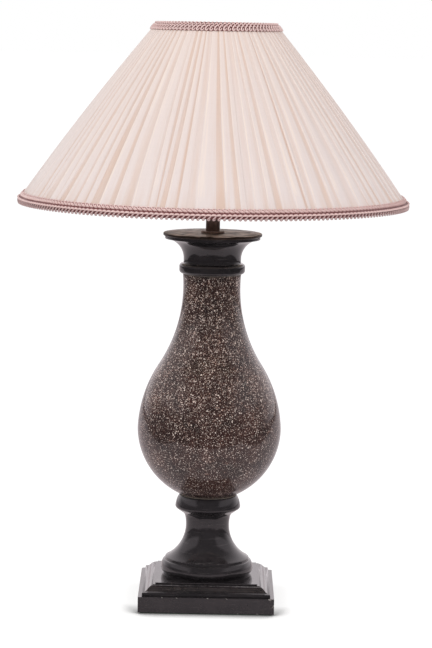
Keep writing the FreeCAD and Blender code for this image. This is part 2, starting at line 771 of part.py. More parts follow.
def make_holder():
    """Bayonet lampholder on the rod's upper end, with its switch, contacts and clamping rings."""
    bar_hole = cylinder("switch_bar_hole", "switch_bar_radius + running_clearance", "3 * holder_radius",
                        across="-1.5 * holder_radius", up="switch_height", turn=((0, 1, 0), 90))
    inner = "(holder_radius - holder_wall)"
    inner_shoulder = "(holder_shoulder_height + holder_wall / 2)"
    cap = turned("holder_cap_blank", [
        ("rod_radius", "0"), ("riser_radius", "0"),
        ("riser_radius", "holder_neck_height", "swell", "holder_dome_round"),
        ("holder_radius", "holder_shoulder_height"), ("holder_radius", "holder_height"),
        (inner, "holder_height"), (inner, inner_shoulder, "hollow", "holder_dome_round - holder_wall"),
        ("riser_radius - holder_wall / 2", "holder_grip"), ("rod_radius", "holder_grip"),
    ])
    keep(seat(cut_away("holder_cap_cut", cap, [bar_hole]), HOLDER_FOOT), "holder_cap")

    lip_foot = "(locking_ring_height - locking_ring_lip)"
    locking_ring = turned("shell_locking_ring", [
        ("holder_radius", "0"), ("locking_ring_radius", "0"), ("locking_ring_radius", "locking_ring_height"),
        ("thread_radius + rod_clearance", "locking_ring_height"),
        ("thread_radius + rod_clearance", lip_foot), ("holder_radius", lip_foot),
    ])
    keep(seat(locking_ring, above_holder(LOCKING_RING_FOOT)), "shell_locking_ring")

    keep(seat(switch_block(), above_holder("switch_height - switch_block_height / 2")), "switch_block")
    keep(seat(switch_bar(), above_holder("switch_height")), "switch_bar")
    contact = turned("switch_contact", [
        ("-switch_contact_width / 2", "switch_bar_radius"), ("switch_contact_width / 2", "switch_bar_radius"),
        ("switch_contact_width / 2", "switch_contact_radius"),
        ("-switch_contact_width / 2", "switch_contact_radius"),
    ], axis="H_Axis")
    keep(seat(contact, above_holder("switch_height")), "switch_contact")

    keep(seat(holder_insulator(), above_holder(INSULATOR_FOOT)), "holder_insulator")
    keep(seat(holder_shell(), above_holder("holder_height")), "holder_shell")
    for label, foot in (("lower_shade_ring", SHADE_RING_FOOT), ("upper_shade_ring", UPPER_RING_FOOT)):
        keep(seat(shade_ring(label), above_holder(foot)), label)
    make_contacts()


def switch_block():
    """Insulating block in the cap, bored across for the bar and its contact collar."""
    block = turned("switch_block", [
        ("switch_block_hole", "0"), ("switch_block_radius", "0"),
        ("switch_block_radius", "switch_block_height"), ("switch_block_hole", "switch_block_height"),
    ])
    bore = new_sketch(block, "switch_bore", "YZ_Plane")
    circle(bore, ("0", "switch_block_height / 2"), "switch_contact_radius + running_clearance")
    return pocket(block, bore, "3 * switch_block_radius", both_ways=True)


def switch_bar():
    """Round bar that is pushed through from one side or the other, with domed ends."""
    left = "(-holder_radius - switch_bar_short_end)"
    right = "(holder_radius + switch_bar_long_end)"
    shoulder = "(switch_bar_radius - switch_bar_round)"
    return turned("switch_bar", [
        (left, "0"), (right, "0"), (right, shoulder, "swell", "switch_bar_round"),
        (f"{right} - switch_bar_round", "switch_bar_radius"),
        (f"{left} + switch_bar_round", "switch_bar_radius", "swell", "switch_bar_round"),
        (left, shoulder),
    ], axis="H_Axis")


def holder_insulator():
    """Round block under the bulb, with a stepped bore for each spring-loaded contact."""
    side = "(thread_radius - thread_wall - running_clearance)"
    block = turned("holder_insulator", [
        ("0", "0"), ("insulator_flange_radius", "0"),
        ("insulator_flange_radius", "insulator_flange_height"), (side, "insulator_flange_height"),
        (side, "insulator_height"), ("0", "insulator_height"),
    ])
    for name, radius, depth in (
        ("plunger_bores", PLUNGER_BORE, "insulator_height - plunger_guide"),
        ("tip_bores", PLUNGER_TIP_BORE, "insulator_height"),
    ):
        holes = new_sketch(block, name, "XY_Plane")
        circle(holes, ("contact_spacing", "0"), radius, "right")
        circle(holes, ("-contact_spacing", "0"), radius, "left")
        pocket(block, holes, depth)
    return block


def holder_shell():
    """Flanged shell: threaded skirt for the shade rings, then the slotted barrel for the bulb's cap."""
    skirt_inner = "(thread_radius - thread_wall)"
    barrel_inner = "(barrel_radius - barrel_wall)"
    shoulder = "(insulator_height - insulator_flange_height)"
    rim = f"({shoulder} + barrel_length)"
    blank = turned("holder_shell_blank", [
        (skirt_inner, "0"), ("holder_radius", "0"), ("holder_radius", "locking_ring_lip"),
        ("thread_radius", "locking_ring_lip"), ("thread_radius", f"{shoulder} + shell_shoulder"),
        ("barrel_radius", f"{shoulder} + shell_shoulder"), ("barrel_radius", rim), (barrel_inner, rim),
        (barrel_inner, shoulder), (skirt_inner, shoulder),
    ])
    # Each slot runs down from the rim, then sideways to where the pin rests
    slack = "(bulb_pin_radius + 2 * running_clearance)"
    pin_height = f"({shoulder} + plunger_reach + bulb_pin_height)"
    half_pin = f"(asin({slack} / {barrel_inner}) / 1 deg)"
    cutters = []
    for side, turn in (("back", 90.0), ("front", 270.0)):
        sideways = doc.addObject("Part::Cylinder", f"slot_{side}_sideways")
        bind(sideways, "Radius", "barrel_radius + barrel_wall")
        bind(sideways, "Height", f"2 * {slack}")
        bind(sideways, "Angle", f"bulb_twist + 2 * {half_pin}")
        bind(sideways, "Placement.Base.z", f"{pin_height} - {slack}")
        bind(sideways, "Placement.Rotation.Angle", f"({turn} - {half_pin}) * 1 deg")
        down = doc.addObject("Part::Cylinder", f"slot_{side}_down")
        bind(down, "Radius", "barrel_radius + barrel_wall")
        bind(down, "Height", "barrel_length")
        bind(down, "Angle", f"2 * {half_pin}")
        bind(down, "Placement.Base.z", pin_height)
        bind(down, "Placement.Rotation.Angle", f"({turn} + bulb_twist - {half_pin}) * 1 deg")
        cutters += [sideways, down]
    return cut_away("holder_shell_cut", blank, cutters)


def shade_ring(label):
    """Knurled clamping ring on the shell's thread, with softened rims."""
    ring = washer(label, "thread_radius", "shade_ring_radius", "shade_ring_thickness")
    rim = value("shade_ring_radius - shade_ring_round")
    return round_edges(ring, "shade_ring_round", lambda place: edge_reach(ring, place) > rim)


def make_contacts():
    """Terminals, springs and plungers, one set on each side of the axis."""
    terminals = []
    plug_top = above_holder(f"{INSULATOR_FOOT} + terminal_plug_height")
    skirt_foot = f"{INSULATOR_TOP} - plunger_guide - running_clearance - plunger_skirt"
    for side, turn, sign in (("right", 0.0, ""), ("left", 180.0, "-")):
        across = f"{sign}contact_spacing"
        terminal = turned(f"terminal_{side}", [
            ("0", "-terminal_head_height"), ("terminal_head_radius", "-terminal_head_height"),
            ("terminal_head_radius", "0"), (PLUNGER_BORE, "0"), (PLUNGER_BORE, "terminal_plug_height"),
            ("0", "terminal_plug_height"),
        ])
        bind(terminal, "Placement.Base.x", across)
        bind(terminal, "Placement.Base.z", above_holder(INSULATOR_FOOT))
        terminals.append(terminal)
        plunger = turned(f"plunger_{side}", [
            ("0", "0"), ("plunger_radius", "0"), ("plunger_radius", "plunger_skirt"),
            ("plunger_tip_radius", "plunger_skirt"),
            ("plunger_tip_radius", "plunger_skirt + plunger_guide + plunger_reach"),
            ("0", "plunger_skirt + plunger_guide + plunger_reach"),
        ])
        bind(plunger, "Placement.Base.x", across)
        bind(plunger, "Placement.Base.z", above_holder(skirt_foot))
        keep(plunger, f"plunger_{side}")
        spring = contact_spring(side, f"({above_holder(skirt_foot)} - {plug_top})")
        bind(spring, "Placement.Base.x", across)
        bind(spring, "Placement.Base.z", f"{plug_top} + spring_wire")
        keep(spring, f"plunger_spring_{side}")
    keep(group("holder_terminals", terminals), "holder_terminals")


def contact_spring(side, space):
    """Open coil that fills the space between a terminal and its plunger."""
    body = new_body(f"spring_{side}")
    section = new_sketch(body, f"spring_{side}_wire")
    circle(section, ("spring_radius", "0"), "spring_wire")
    coil = body.newObject("PartDesign::AdditiveHelix", f"spring_{side}_coil")
    coil.Profile = section
    coil.ReferenceAxis = (section, ["V_Axis"])
    coil.Mode = "height-turns-angle"
    bind(coil, "Height", f"{space} - 2 * spring_wire - 2 * running_clearance")
    bind(coil, "Turns", "spring_turns")
    body.Tip = coil
    return body


def make_bulb():
    """Pear-shaped bulb with a bayonet cap, seated on the plungers with a hair's gap."""
    foot = above_holder(CONTACT_HEIGHT)
    cap_foot = "bulb_contact_height"
    cap_inner = "(bulb_cap_radius - bulb_cap_wall)"
    pads = []
    pins = []
    for side, sign, turn in (("right", "", 90.0), ("left", "-", -90.0)):
        pads.append(cylinder(f"bulb_contact_{side}", "bulb_contact_radius", "bulb_contact_height",
                             across=f"{sign}contact_spacing"))
        pins.append(cylinder(f"bulb_pin_{side}", "bulb_pin_radius", "bulb_pin_reach - bulb_cap_radius",
                             deep=f"{sign}bulb_cap_radius", up="bulb_pin_height",
                             turn=((1, 0, 0), -turn)))
    keep(seat(group("bulb_contact_pair", pads), foot), "bulb_contacts")
    keep(seat(group("bulb_pin_pair", pins), foot), "bulb_pins")
    keep(seat(turned("bulb_base_insulator", [
        ("0", cap_foot), (cap_inner, cap_foot), (cap_inner, f"{cap_foot} + bulb_insulator_height"),
        ("0", f"{cap_foot} + bulb_insulator_height"),
    ]), foot), "bulb_base_insulator")
    keep(seat(turned("bulb_cap", [
        (cap_inner, cap_foot), ("bulb_cap_radius", cap_foot), ("bulb_cap_radius", "bulb_cap_length"),
        (cap_inner, "bulb_cap_length"),
    ]), foot), "bulb_cap")
    keep(seat(bulb_envelope(), foot), "bulb_envelope")
    keep(seat(bulb_stem(), foot), "bulb_stem")
    keep(seat(filament(), foot), "bulb_filament")


def bulb_envelope():
    """Thin glass: straight neck, hollow shoulder and a round head that meet without a corner."""
    centre = "(bulb_length - bulb_radius)"
    rise = f"({centre} - bulb_neck_top)"
    shoulder = ("((bulb_neck_radius * bulb_neck_radius + {0} * {0} - bulb_radius * bulb_radius)"
                " / (2 * (bulb_radius - bulb_neck_radius)))").format(rise)
    share = f"({shoulder} + bulb_radius)"

    def meeting(inset):
        head = f"(bulb_radius - {inset})"
        across = f"{head} * (bulb_neck_radius + {shoulder}) / {share}"
        return (across, f"{centre} - {head} * {rise} / {share}")

    return turned("bulb_envelope", [
        ("bulb_neck_radius - bulb_glass", "bulb_seal_height"), ("bulb_neck_radius", "bulb_seal_height"),
        ("bulb_neck_radius", "bulb_neck_top", "hollow", shoulder),
        (*meeting("0"), "swell", "bulb_radius"),
        ("0", "bulb_length"), ("0", "bulb_length - bulb_glass", "hollow", "bulb_radius - bulb_glass"),
        (*meeting("bulb_glass"), "swell", f"{shoulder} + bulb_glass"),
        ("bulb_neck_radius - bulb_glass", "bulb_neck_top"),
    ])


def bulb_stem():
    """Glass stem with the flare that seals the neck."""
    flare = "(bulb_neck_radius - bulb_glass)"
    return turned("bulb_stem", [
        ("0", "bulb_seal_height"), (flare, "bulb_seal_height"), (flare, "bulb_seal_height + bulb_glass"),
        ("stem_radius", "bulb_seal_height + stem_flare"), ("stem_radius", "bulb_seal_height + stem_height"),
        ("0", "bulb_seal_height + stem_height"),
    ])


def filament():
    """Lead wires that rise from the stem and carry the filament between them."""
    stem_top = "(bulb_seal_height + stem_height)"
    half = "filament_half_span"
    wire_foot = f"({stem_top} + filament_wire)"
    shoulder = f"({stem_top} + filament_rise)"
    corners = [
        ("-stem_radius / 2", wire_foot), (f"-{half}", f"{shoulder} - filament_wire"),
        (f"-{half} / 3", f"{shoulder} + stem_radius"), (f"{half} / 3", f"{shoulder} + stem_radius"),
        (half, f"{shoulder} - filament_wire"), ("stem_radius / 2", wire_foot),
    ]
    return bent_wire("bulb_filament", corners, "2 * filament_wire", "filament_wire")


def make_carrier():
    """Ring clamped on the lampholder, two bowed wires round the bulb and the seat for the gimbal."""
    foot = above_holder(CARRIER_RING_FOOT)
    ring_bore = "(thread_radius + running_clearance)"
    keep(seat(washer("carrier_ring", ring_bore, "carrier_ring_radius", "carrier_ring_thickness"), foot),
         "carrier_ring")
    bow = [
        ("carrier_foot_radius", "carrier_ring_thickness"),
        ("carrier_foot_radius", "carrier_ring_thickness + carrier_end_straight"),
        ("carrier_bow_radius", "carrier_bow_start"),
        ("carrier_bow_radius", "carrier_height - carrier_bow_end"),
        ("carrier_head_radius", "carrier_height - carrier_end_straight"),
        ("carrier_head_radius", "carrier_height"),
    ]
    for side, turn in (("right", 0.0), ("left", 180.0)):
        arm = bent_wire(f"carrier_arm_{side}", bow, "carrier_end_bend", "carrier_wire")
        keep(seat(arm, foot, turn), f"carrier_arm_{side}")
    keep(seat(turned("carrier_top", [
        ("rod_radius", "0"), ("carrier_top_radius", "0"), ("carrier_top_radius", "carrier_top_thickness"),
        ("spigot_radius", "carrier_top_thickness"), ("spigot_radius", "spigot_height"),
        ("rod_radius", "spigot_height"),
    ]), f"{foot} + carrier_height"), "carrier_top")


# Heights of the gimbal and the shade, built up from the carrier's seat
GIMBAL_RING_FOOT = (
    f"({HOLDER_FOOT} + {CARRIER_RING_FOOT} + carrier_height + carrier_top_thickness + lift_gap)"
)
PIVOT_HEIGHT = f"({GIMBAL_RING_FOOT} + gimbal_ring_thickness + gimbal_rise)"
TOP_RING_HEIGHT = f"({PIVOT_HEIGHT} + pivot_drop)"

# Stations along the tilt axis, counted in from the shade's top ring
LUG_OUTER = "(top_ring_radius - frame_wire - lug_weld_gap)"
LUG_INNER = f"({LUG_OUTER} - lug_thickness)"
EYE_OUTER = f"({LUG_INNER} - side_gap)"
EYE_INNER = f"({EYE_OUTER} - eye_thickness)"


def make_gimbal():
    """Ring on the carrier's spigot and two arms that rise to the pins of the tilt axis."""
    bore = "(spigot_radius + running_clearance)"
    keep(seat(washer("gimbal_ring", bore, "gimbal_ring_radius", "gimbal_ring_thickness"),
              GIMBAL_RING_FOOT), "gimbal_ring")
    upright = f"({EYE_INNER} + eye_thickness / 4)"
    level = "(gimbal_wire - gimbal_rise)"
    route = [
        ("gimbal_wire_start", level), ("gimbal_wire_flat", level), (upright, "-gimbal_upright"),
        (upright, "-(eye_radius + pin_radius) / 2"),
    ]
    pins = []
    for side, turn in (("right", 0.0), ("left", 180.0)):
        arm = bent_wire(f"gimbal_arm_{side}", route, "gimbal_bend", "gimbal_wire")
        eye = outline(new_sketch(arm, f"eye_{side}"), [
            (EYE_INNER, "pin_radius"), (EYE_OUTER, "pin_radius"), (EYE_OUTER, "eye_radius"),
            (EYE_INNER, "eye_radius"),
        ])
        keep(seat(revolve(arm, eye, "H_Axis"), PIVOT_HEIGHT, turn), f"gimbal_arm_{side}")
        pins.append(seat(gimbal_pin(side), PIVOT_HEIGHT, turn))
    keep(group("gimbal_pin_pair", pins), "gimbal_pins")


def gimbal_pin(side):
    """Rivet that is fast in the arm's eye and turns in the shade's lug."""
    tip = f"({LUG_OUTER} + side_gap)"
    return turned(f"gimbal_pin_{side}", [
        (f"{EYE_INNER} - pin_head_thickness", "0"), (f"{tip} + pin_head_thickness", "0"),
        (f"{tip} + pin_head_thickness", "pin_head_radius"), (tip, "pin_head_radius"),
        (tip, "pin_radius"), (EYE_INNER, "pin_radius"), (EYE_INNER, "pin_head_radius"),
        (f"{EYE_INNER} - pin_head_thickness", "pin_head_radius"),
    ], axis="H_Axis")


SLOPE = "atan((bottom_ring_radius - top_ring_radius) / shade_drop)"
SLOPE_LENGTH = f"(shade_drop / cos({SLOPE}))"
COVER_INNER = "(frame_wire + cover_gap)"
COVER_EDGE = f"({COVER_INNER} + cover_edge)"


def on_cone(up, offset):
    """Point at a height from the top ring's level, offset square to the line through both rings."""
    return (f"(top_ring_radius - ({up}) * tan({SLOPE}) + ({offset}) / cos({SLOPE}))", f"({up})")


def crown_at(drop):
    """How far the cover stands out of the straight line between its edges, so far below its top."""
    share = f"(({drop}) / shade_drop)"
    return f"(4 * cover_crown * {share} * (1 - {share}))"


def crown_round(chord, crown):
    """Radius of the arc that stands out by the crown over a chord."""
    return f"({chord} * {chord} / (8 * {crown}) + {crown} / 2)"


def make_shade():
    """Wire frame, silk cover, lining and braids. All but the lugs stand at the top ring's level."""
    lugs = [seat(pivot_lug(side), PIVOT_HEIGHT, turn) for side, turn in (("right", 0.0), ("left", 180.0))]
    keep(group("gimbal_lug_pair", lugs), "gimbal_lugs")
    for label, radius, up in (("shade_top_ring", "top_ring_radius", "0"),
                              ("shade_bottom_ring", "bottom_ring_radius", "-shade_drop")):
        ring = new_body(label)
        revolve(ring, circle(new_sketch(ring, label + "_wire"), (radius, up), "frame_wire"))
        keep(seat(ring, TOP_RING_HEIGHT), label)
    keep(seat(shade_ribs(), TOP_RING_HEIGHT, 180.0 / value("rib_count")), "shade_ribs")
    keep(seat(shade_cover(), TOP_RING_HEIGHT), "shade_cover")
    lining_inner = f"({COVER_INNER} + lining_thickness)"
    hem_top = "(-shade_drop - frame_wire - cover_gap)"
    keep(seat(turned("shade_lining", [
        on_cone(hem_top, f"-{lining_inner}"), on_cone(hem_top, f"-{COVER_INNER}"),
        on_cone("-lining_top", f"-{COVER_INNER}"), on_cone("-lining_top", f"-{lining_inner}"),
    ]), TOP_RING_HEIGHT), "shade_lining")
    make_trims()


def pivot_lug(side):
    """Plate hanging from the top ring with the hole that the gimbal's pin turns in."""
    body = new_body(f"gimbal_lug_{side}")
    sketch = new_sketch(body, f"lug_outline_{side}", "YZ_Plane")
    bind(sketch, "AttachmentOffset.Base.z", LUG_INNER)
    outline(sketch, [
        ("-lug_half_width", "lug_top"), ("-lug_half_width", "0", "swell", "lug_round"),
        ("lug_half_width", "0"), ("lug_half_width", "lug_top"),
    ])
    circle(sketch, ("0", "0"), "pin_radius + running_clearance", "hole")
    return pad(body, sketch, "lug_thickness")


def shade_ribs():
    """Straight wires from ring to ring, evenly round the frame."""
    body = new_body("shade_ribs")
    reach = "(frame_wire + rib_weld_gap)"
    route = [
        (f"top_ring_radius + {reach} * sin({SLOPE})", f"-{reach} * cos({SLOPE})"),
        (f"bottom_ring_radius - {reach} * sin({SLOPE})", f"-shade_drop + {reach} * cos({SLOPE})"),
    ]
    path = bent_path(new_sketch(body, "rib_path"), route, "rib_wire")
    return around(body, wire_along(body, path, "rib_wire"), "rib_count")


def shade_cover():
    """Closed skin of pleated silk: crowned outside, straight inside, turned in over both rings."""
    under = "(-shade_drop - frame_wire - cover_gap)"
    over = "(frame_wire + cover_gap)"
    edge = f"{COVER_EDGE} / cos({SLOPE})"
    return turned("shade_cover", [
        ("bottom_ring_radius - hem_reach", f"{under} - hem_thickness"),
        ("bottom_ring_radius + frame_wire", f"{under} - hem_thickness", "swell", "cover_foot_round"),
        on_cone("-shade_drop", COVER_EDGE) + ("swell", crown_round(SLOPE_LENGTH, "cover_crown")),
        (f"top_ring_radius + {edge}", "0", "swell", "cover_top_round"),
        ("top_ring_radius + frame_wire / 2", f"{over} + hem_thickness"),
        ("top_ring_radius - frame_wire", f"{over} + hem_thickness"),
        ("top_ring_radius - frame_wire", over), ("top_ring_radius + frame_wire / 2", over),
        on_cone("0", COVER_INNER), on_cone("-shade_drop", COVER_INNER),
        ("bottom_ring_radius + frame_wire / 2", under), ("bottom_ring_radius - hem_reach", under),
    ])


def make_trims():
    """Braid round the top, plaited braid over a looped braid round the bottom."""
    for label, top, bottom in (
        ("top_trim", "top_trim_rise", "-top_trim_drop"),
        ("bottom_braid", "-shade_drop + braid_top", "-shade_drop + braid_bottom"),
    ):
        low = f"{COVER_EDGE} + trim_gap + " + crown_at(f"-({bottom})")
        high = f"{COVER_EDGE} + trim_gap + " + (crown_at(f"-({top})") if "shade_drop" in top else "0")
        side = f"({low} + trim_thickness - trim_crown)"
        width = f"(({top} - ({bottom})) / cos({SLOPE}))"
        braid = turned(label, [
            on_cone(bottom, low), on_cone(bottom, side) + ("swell", crown_round(width, "trim_crown")),
            on_cone(top, f"{high} + trim_thickness - trim_crown"), on_cone(top, high),
        ])
        keep(seat(braid, TOP_RING_HEIGHT), label)
    inner = f"(bottom_ring_radius + {COVER_EDGE} / cos({SLOPE}) + trim_gap)"
    outer = f"({inner} + trim_thickness - trim_crown)"
    width = "(loop_trim_top + loop_trim_drop)"
    loops = turned("bottom_loop_trim", [
        (inner, "-shade_drop - loop_trim_drop"),
        (outer, "-shade_drop - loop_trim_drop", "swell", crown_round(width, "trim_crown")),
        (outer, "-shade_drop + loop_trim_top"), (inner, "-shade_drop + loop_trim_top"),
    ])
    keep(seat(loops, TOP_RING_HEIGHT), "bottom_loop_trim")


def write_parts():
    """Check every object and write each piece to its own file."""
    doc.recompute()
    for thing in doc.Objects:
        if "Invalid" in thing.State or "Error" in thing.State:
            raise ValueError(f"{thing.Label} failed: {thing.State}")
    os.makedirs("parts", exist_ok=True)
    for node in nodes:
        if node.Shape.isNull() or not node.Shape.isValid() or node.Shape.Volume <= 0:
            raise ValueError(f"{node.Label} has no sound solid")
        node.Shape.exportStep(f"parts/{node.Label}.step")
        print(f"{node.Label}: {len(node.Shape.Solids)} solid, {node.Shape.Volume / 1000:.2f} cm3")


make_base()
make_column()
make_stem()
make_holder()
make_bulb()
make_carrier()
make_gimbal()
make_shade()
write_parts()
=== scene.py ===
"""A column table lamp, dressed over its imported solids: polished black stone, a speckled body under gloss,
bronzed metal, a bayonet lampholder, and a wide pleated silk shade with looped braid at both edges."""

import json
import logging
import math
import random
from contextlib import contextmanager
from dataclasses import dataclass, field
from enum import Enum
from typing import Callable, Iterator, Optional, Sequence

import bpy
from mathutils import Euler, Matrix, Vector


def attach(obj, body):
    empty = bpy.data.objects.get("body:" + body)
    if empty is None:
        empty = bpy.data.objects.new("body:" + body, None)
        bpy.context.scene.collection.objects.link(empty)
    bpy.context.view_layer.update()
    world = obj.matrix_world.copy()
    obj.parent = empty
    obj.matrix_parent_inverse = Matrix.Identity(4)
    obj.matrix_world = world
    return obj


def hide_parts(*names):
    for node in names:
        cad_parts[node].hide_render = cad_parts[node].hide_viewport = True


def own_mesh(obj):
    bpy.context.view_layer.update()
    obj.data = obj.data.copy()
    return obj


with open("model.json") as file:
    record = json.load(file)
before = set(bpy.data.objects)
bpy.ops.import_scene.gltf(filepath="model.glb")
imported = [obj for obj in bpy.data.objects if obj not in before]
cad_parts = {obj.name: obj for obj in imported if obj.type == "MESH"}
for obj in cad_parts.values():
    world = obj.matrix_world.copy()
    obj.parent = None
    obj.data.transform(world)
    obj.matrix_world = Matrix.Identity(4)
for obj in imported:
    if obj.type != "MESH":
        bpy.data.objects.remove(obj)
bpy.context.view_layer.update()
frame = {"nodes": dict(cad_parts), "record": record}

LOG = logging.getLogger("table_lamp")
# Sizes of the lamp's pieces are written in millimetres, and this makes them metres.
MM = 0.001
Point = tuple[float, float]
Point3 = tuple[float, float, float]
Colour = tuple[float, float, float, float]
Socket = bpy.types.NodeSocket
Sockets = bpy.types.bpy_prop_collection
Inputs = dict[object, object]


class Body(Enum):
    """Bodies of the lamp that pieces ride on."""

    COLUMN = "column"
    SHADE = "shade"


class Attribute(Enum):
    """Values stored on a mesh for its material to read."""

    WEAR = "wear"
    GRIME = "crevice_shade"
    FOLD = "fold"


# Node trees


class Sketch:
    """Lays out a node tree one node at a time."""

    def __init__(self, tree: bpy.types.NodeTree) -> None:
        """Start on a tree."""
        self.tree = tree

    def feed(self, node: bpy.types.Node, inputs: Inputs) -> None:
        """Set or connect a node's inputs.

        Args:
            node: The node.
            inputs: Socket name or number, to a plain value or the output that feeds it.
        """
        for key, source in inputs.items():
            if isinstance(source, Socket):
                self.tree.links.new(source, node.inputs[key])
            else:
                node.inputs[key].default_value = source

    def add(self, kind: str, inputs: Optional[Inputs] = None, **settings: object) -> bpy.types.Node:
        """Add one node.

        Args:
            kind: Blender's name of the node type.
            inputs: What its inputs are set to or fed by.
            settings: Properties of the node itself.

        Returns:
            The new node.
        """
        node = self.tree.nodes.new(kind)
        for name, setting in settings.items():
            setattr(node, name, setting)
        self.feed(node, inputs or {})
        return node

    def math(self, operation: str, first: object, second: object = 0.0, clamp: bool = False) -> Socket:
        """Combine two numbers.

        Args:
            operation: Name of the math operation.
            first: First number or output.
            second: Second number or output.
            clamp: Whether the result is kept from 0 to 1.

        Returns:
            The result's output.
        """
        node = self.add("ShaderNodeMath", {0: first, 1: second}, operation=operation, use_clamp=clamp)
        return node.outputs[0]

    def times(self, first: object, second: object) -> Socket:
        """The product of two numbers."""
        return self.math("MULTIPLY", first, second)

    def plus(self, first: object, second: object) -> Socket:
        """The sum of two numbers."""
        return self.math("ADD", first, second)

    def remap(self, source: object, low: float, high: float, to_low: float = 0.0, to_high: float = 1.0,
              smooth: bool = True) -> Socket:
        """Move a number from one range to another.

        Args:
            source: The number or output.
            low: Start of the range it comes from.
            high: End of the range it comes from.
            to_low: What low becomes.
            to_high: What high becomes.
            smooth: Whether the change eases in and out.

        Returns:
            The result's output.
        """
        kind = "SMOOTHSTEP" if smooth else "LINEAR"
        node = self.add("ShaderNodeMapRange", {0: source, 1: low, 2: high, 3: to_low, 4: to_high},
                        interpolation_type=kind)
        return node.outputs[0]

    def blend(self, share: object, first: object, second: object, kind: str = "MIX") -> Socket:
        """Mix two colours.

        Args:
            share: How much of the second colour.
            first: First colour or output.
            second: Second colour or output.
            kind: Name of the way they mix.

        Returns:
            The colour's output.
        """
        node = self.add("ShaderNodeMix", {0: share, 6: first, 7: second}, data_type="RGBA", blend_type=kind)
        return node.outputs[2]

    def noise(self, place: Socket, scale: object, detail: float = 3.0, roughness: float = 0.55,
              distortion: float = 0.0) -> Socket:
        """Cloudy value from 0 to 1.

        Args:
            place: Coordinates.
            scale: Features per metre.
            detail: Number of finer layers.
            roughness: Weight of the finer layers.
            distortion: How far the layers are bent.

        Returns:
            The value's output.
        """
        inputs = {"Vector": place, "Scale": scale, "Detail": detail, "Roughness": roughness,
                  "Distortion": distortion}
        return self.add("ShaderNodeTexNoise", inputs).outputs["Fac"]

    def stretched(self, place: Socket, scale: Sequence[float], turn: Sequence[float] = (0, 0, 0)) -> Socket:
        """Coordinates scaled along each axis and turned about it, in radians."""
        return self.add("ShaderNodeMapping", {"Vector": place, "Scale": scale, "Rotation": turn}).outputs[0]

    def split(self, vector: Socket) -> Sockets:
        """The X, Y and Z of a vector."""
        return self.add("ShaderNodeSeparateXYZ", {0: vector}).outputs

    def object_place(self) -> Socket:
        """Coordinates of the object itself."""
        return self.add("ShaderNodeTexCoord").outputs["Object"]

    def uv_place(self) -> Socket:
        """Coordinates of the piece's own UV map."""
        return self.add("ShaderNodeUVMap").outputs[0]

    def stored(self, attribute: Attribute) -> Socket:
        """A value stored on the mesh."""
        return self.add("ShaderNodeAttribute", attribute_name=attribute.value).outputs["Fac"]

    def bump(self, height: Socket, depth: float, strength: float = 1.0,
             under: Optional[Socket] = None) -> Socket:
        """Turn a height into a normal.

        Args:
            height: Height from 0 to 1.
            depth: What a height of 1 stands out by, in metres.
            strength: Share of the bump that shows.
            under: Normal of a coarser bump below this one.

        Returns:
            The normal's output.
        """
        inputs = {"Height": height, "Distance": depth, "Strength": strength}
        if under is not None:
            inputs["Normal"] = under
        return self.add("ShaderNodeBump", inputs).outputs[0]


class Effect:
    """A shader node group that several finishes share, built the first time it is used."""

    name: str
    takes: dict[str, float]
    gives: tuple[str, ...]
    made: dict[str, bpy.types.NodeTree] = {}

    @classmethod
    def lay(cls, sketch: Sketch, given: Sockets) -> tuple[Socket, ...]:
        """Lay out the group's nodes.

        Args:
            sketch: The group's sketch.
            given: What the group takes.

        Returns:
            What it gives, in order.
        """
        raise NotImplementedError

    @classmethod
    def group(cls) -> bpy.types.NodeTree:
        """The effect's node group.

        Returns:
            The group, which takes a vector and the numbers in takes, and gives the numbers in gives.
        """
        if cls.name not in cls.made:
            tree = bpy.data.node_groups.new(cls.name, "ShaderNodeTree")
            tree.interface.new_socket("Vector", in_out="INPUT", socket_type="NodeSocketVector")
            for label, default in cls.takes.items():
                socket = tree.interface.new_socket(label, in_out="INPUT", socket_type="NodeSocketFloat")
                socket.default_value = default
            for label in cls.gives:
                tree.interface.new_socket(label, in_out="OUTPUT", socket_type="NodeSocketFloat")
            given, result = tree.nodes.new("NodeGroupInput"), tree.nodes.new("NodeGroupOutput")
            sketch = Sketch(tree)
            sketch.feed(result, dict(zip(cls.gives, cls.lay(sketch, given.outputs))))
            cls.made[cls.name] = tree
        return cls.made[cls.name]

    @classmethod
    def on(cls, sketch: Sketch, place: Socket, **values: object) -> Sockets:
        """Use the effect in a material.

        Args:
            sketch: The material's sketch.
            place: Coordinates.
            values: The numbers that the group takes, or the outputs that feed them.

        Returns:
            What it gives.
        """
        return sketch.add("ShaderNodeGroup", {"Vector": place, **values}, node_tree=cls.group()).outputs


class Clouding(Effect):
    """Soft uneven tone, as in stone, patina or dyed cloth."""

    name = "clouding"
    takes = {"Scale": 20.0, "Contrast": 2.0}
    gives = ("Value",)

    @classmethod
    def lay(cls, sketch: Sketch, given: Sockets) -> tuple[Socket, ...]:
        """Spread two layers of noise about the middle.

        Args:
            sketch: The group's sketch.
            given: What the group takes.

        Returns:
            The tone.
        """
        broad = sketch.noise(given["Vector"], given["Scale"], 4.0, 0.5, 0.6)
        fine = sketch.noise(given["Vector"], sketch.times(given["Scale"], 5.3), 5.0, 0.5)
        both = sketch.plus(sketch.times(broad, 0.65), sketch.times(fine, 0.35))
        spread = sketch.times(sketch.math("SUBTRACT", both, 0.5), given["Contrast"])
        return (sketch.math("ADD", spread, 0.5, clamp=True),)


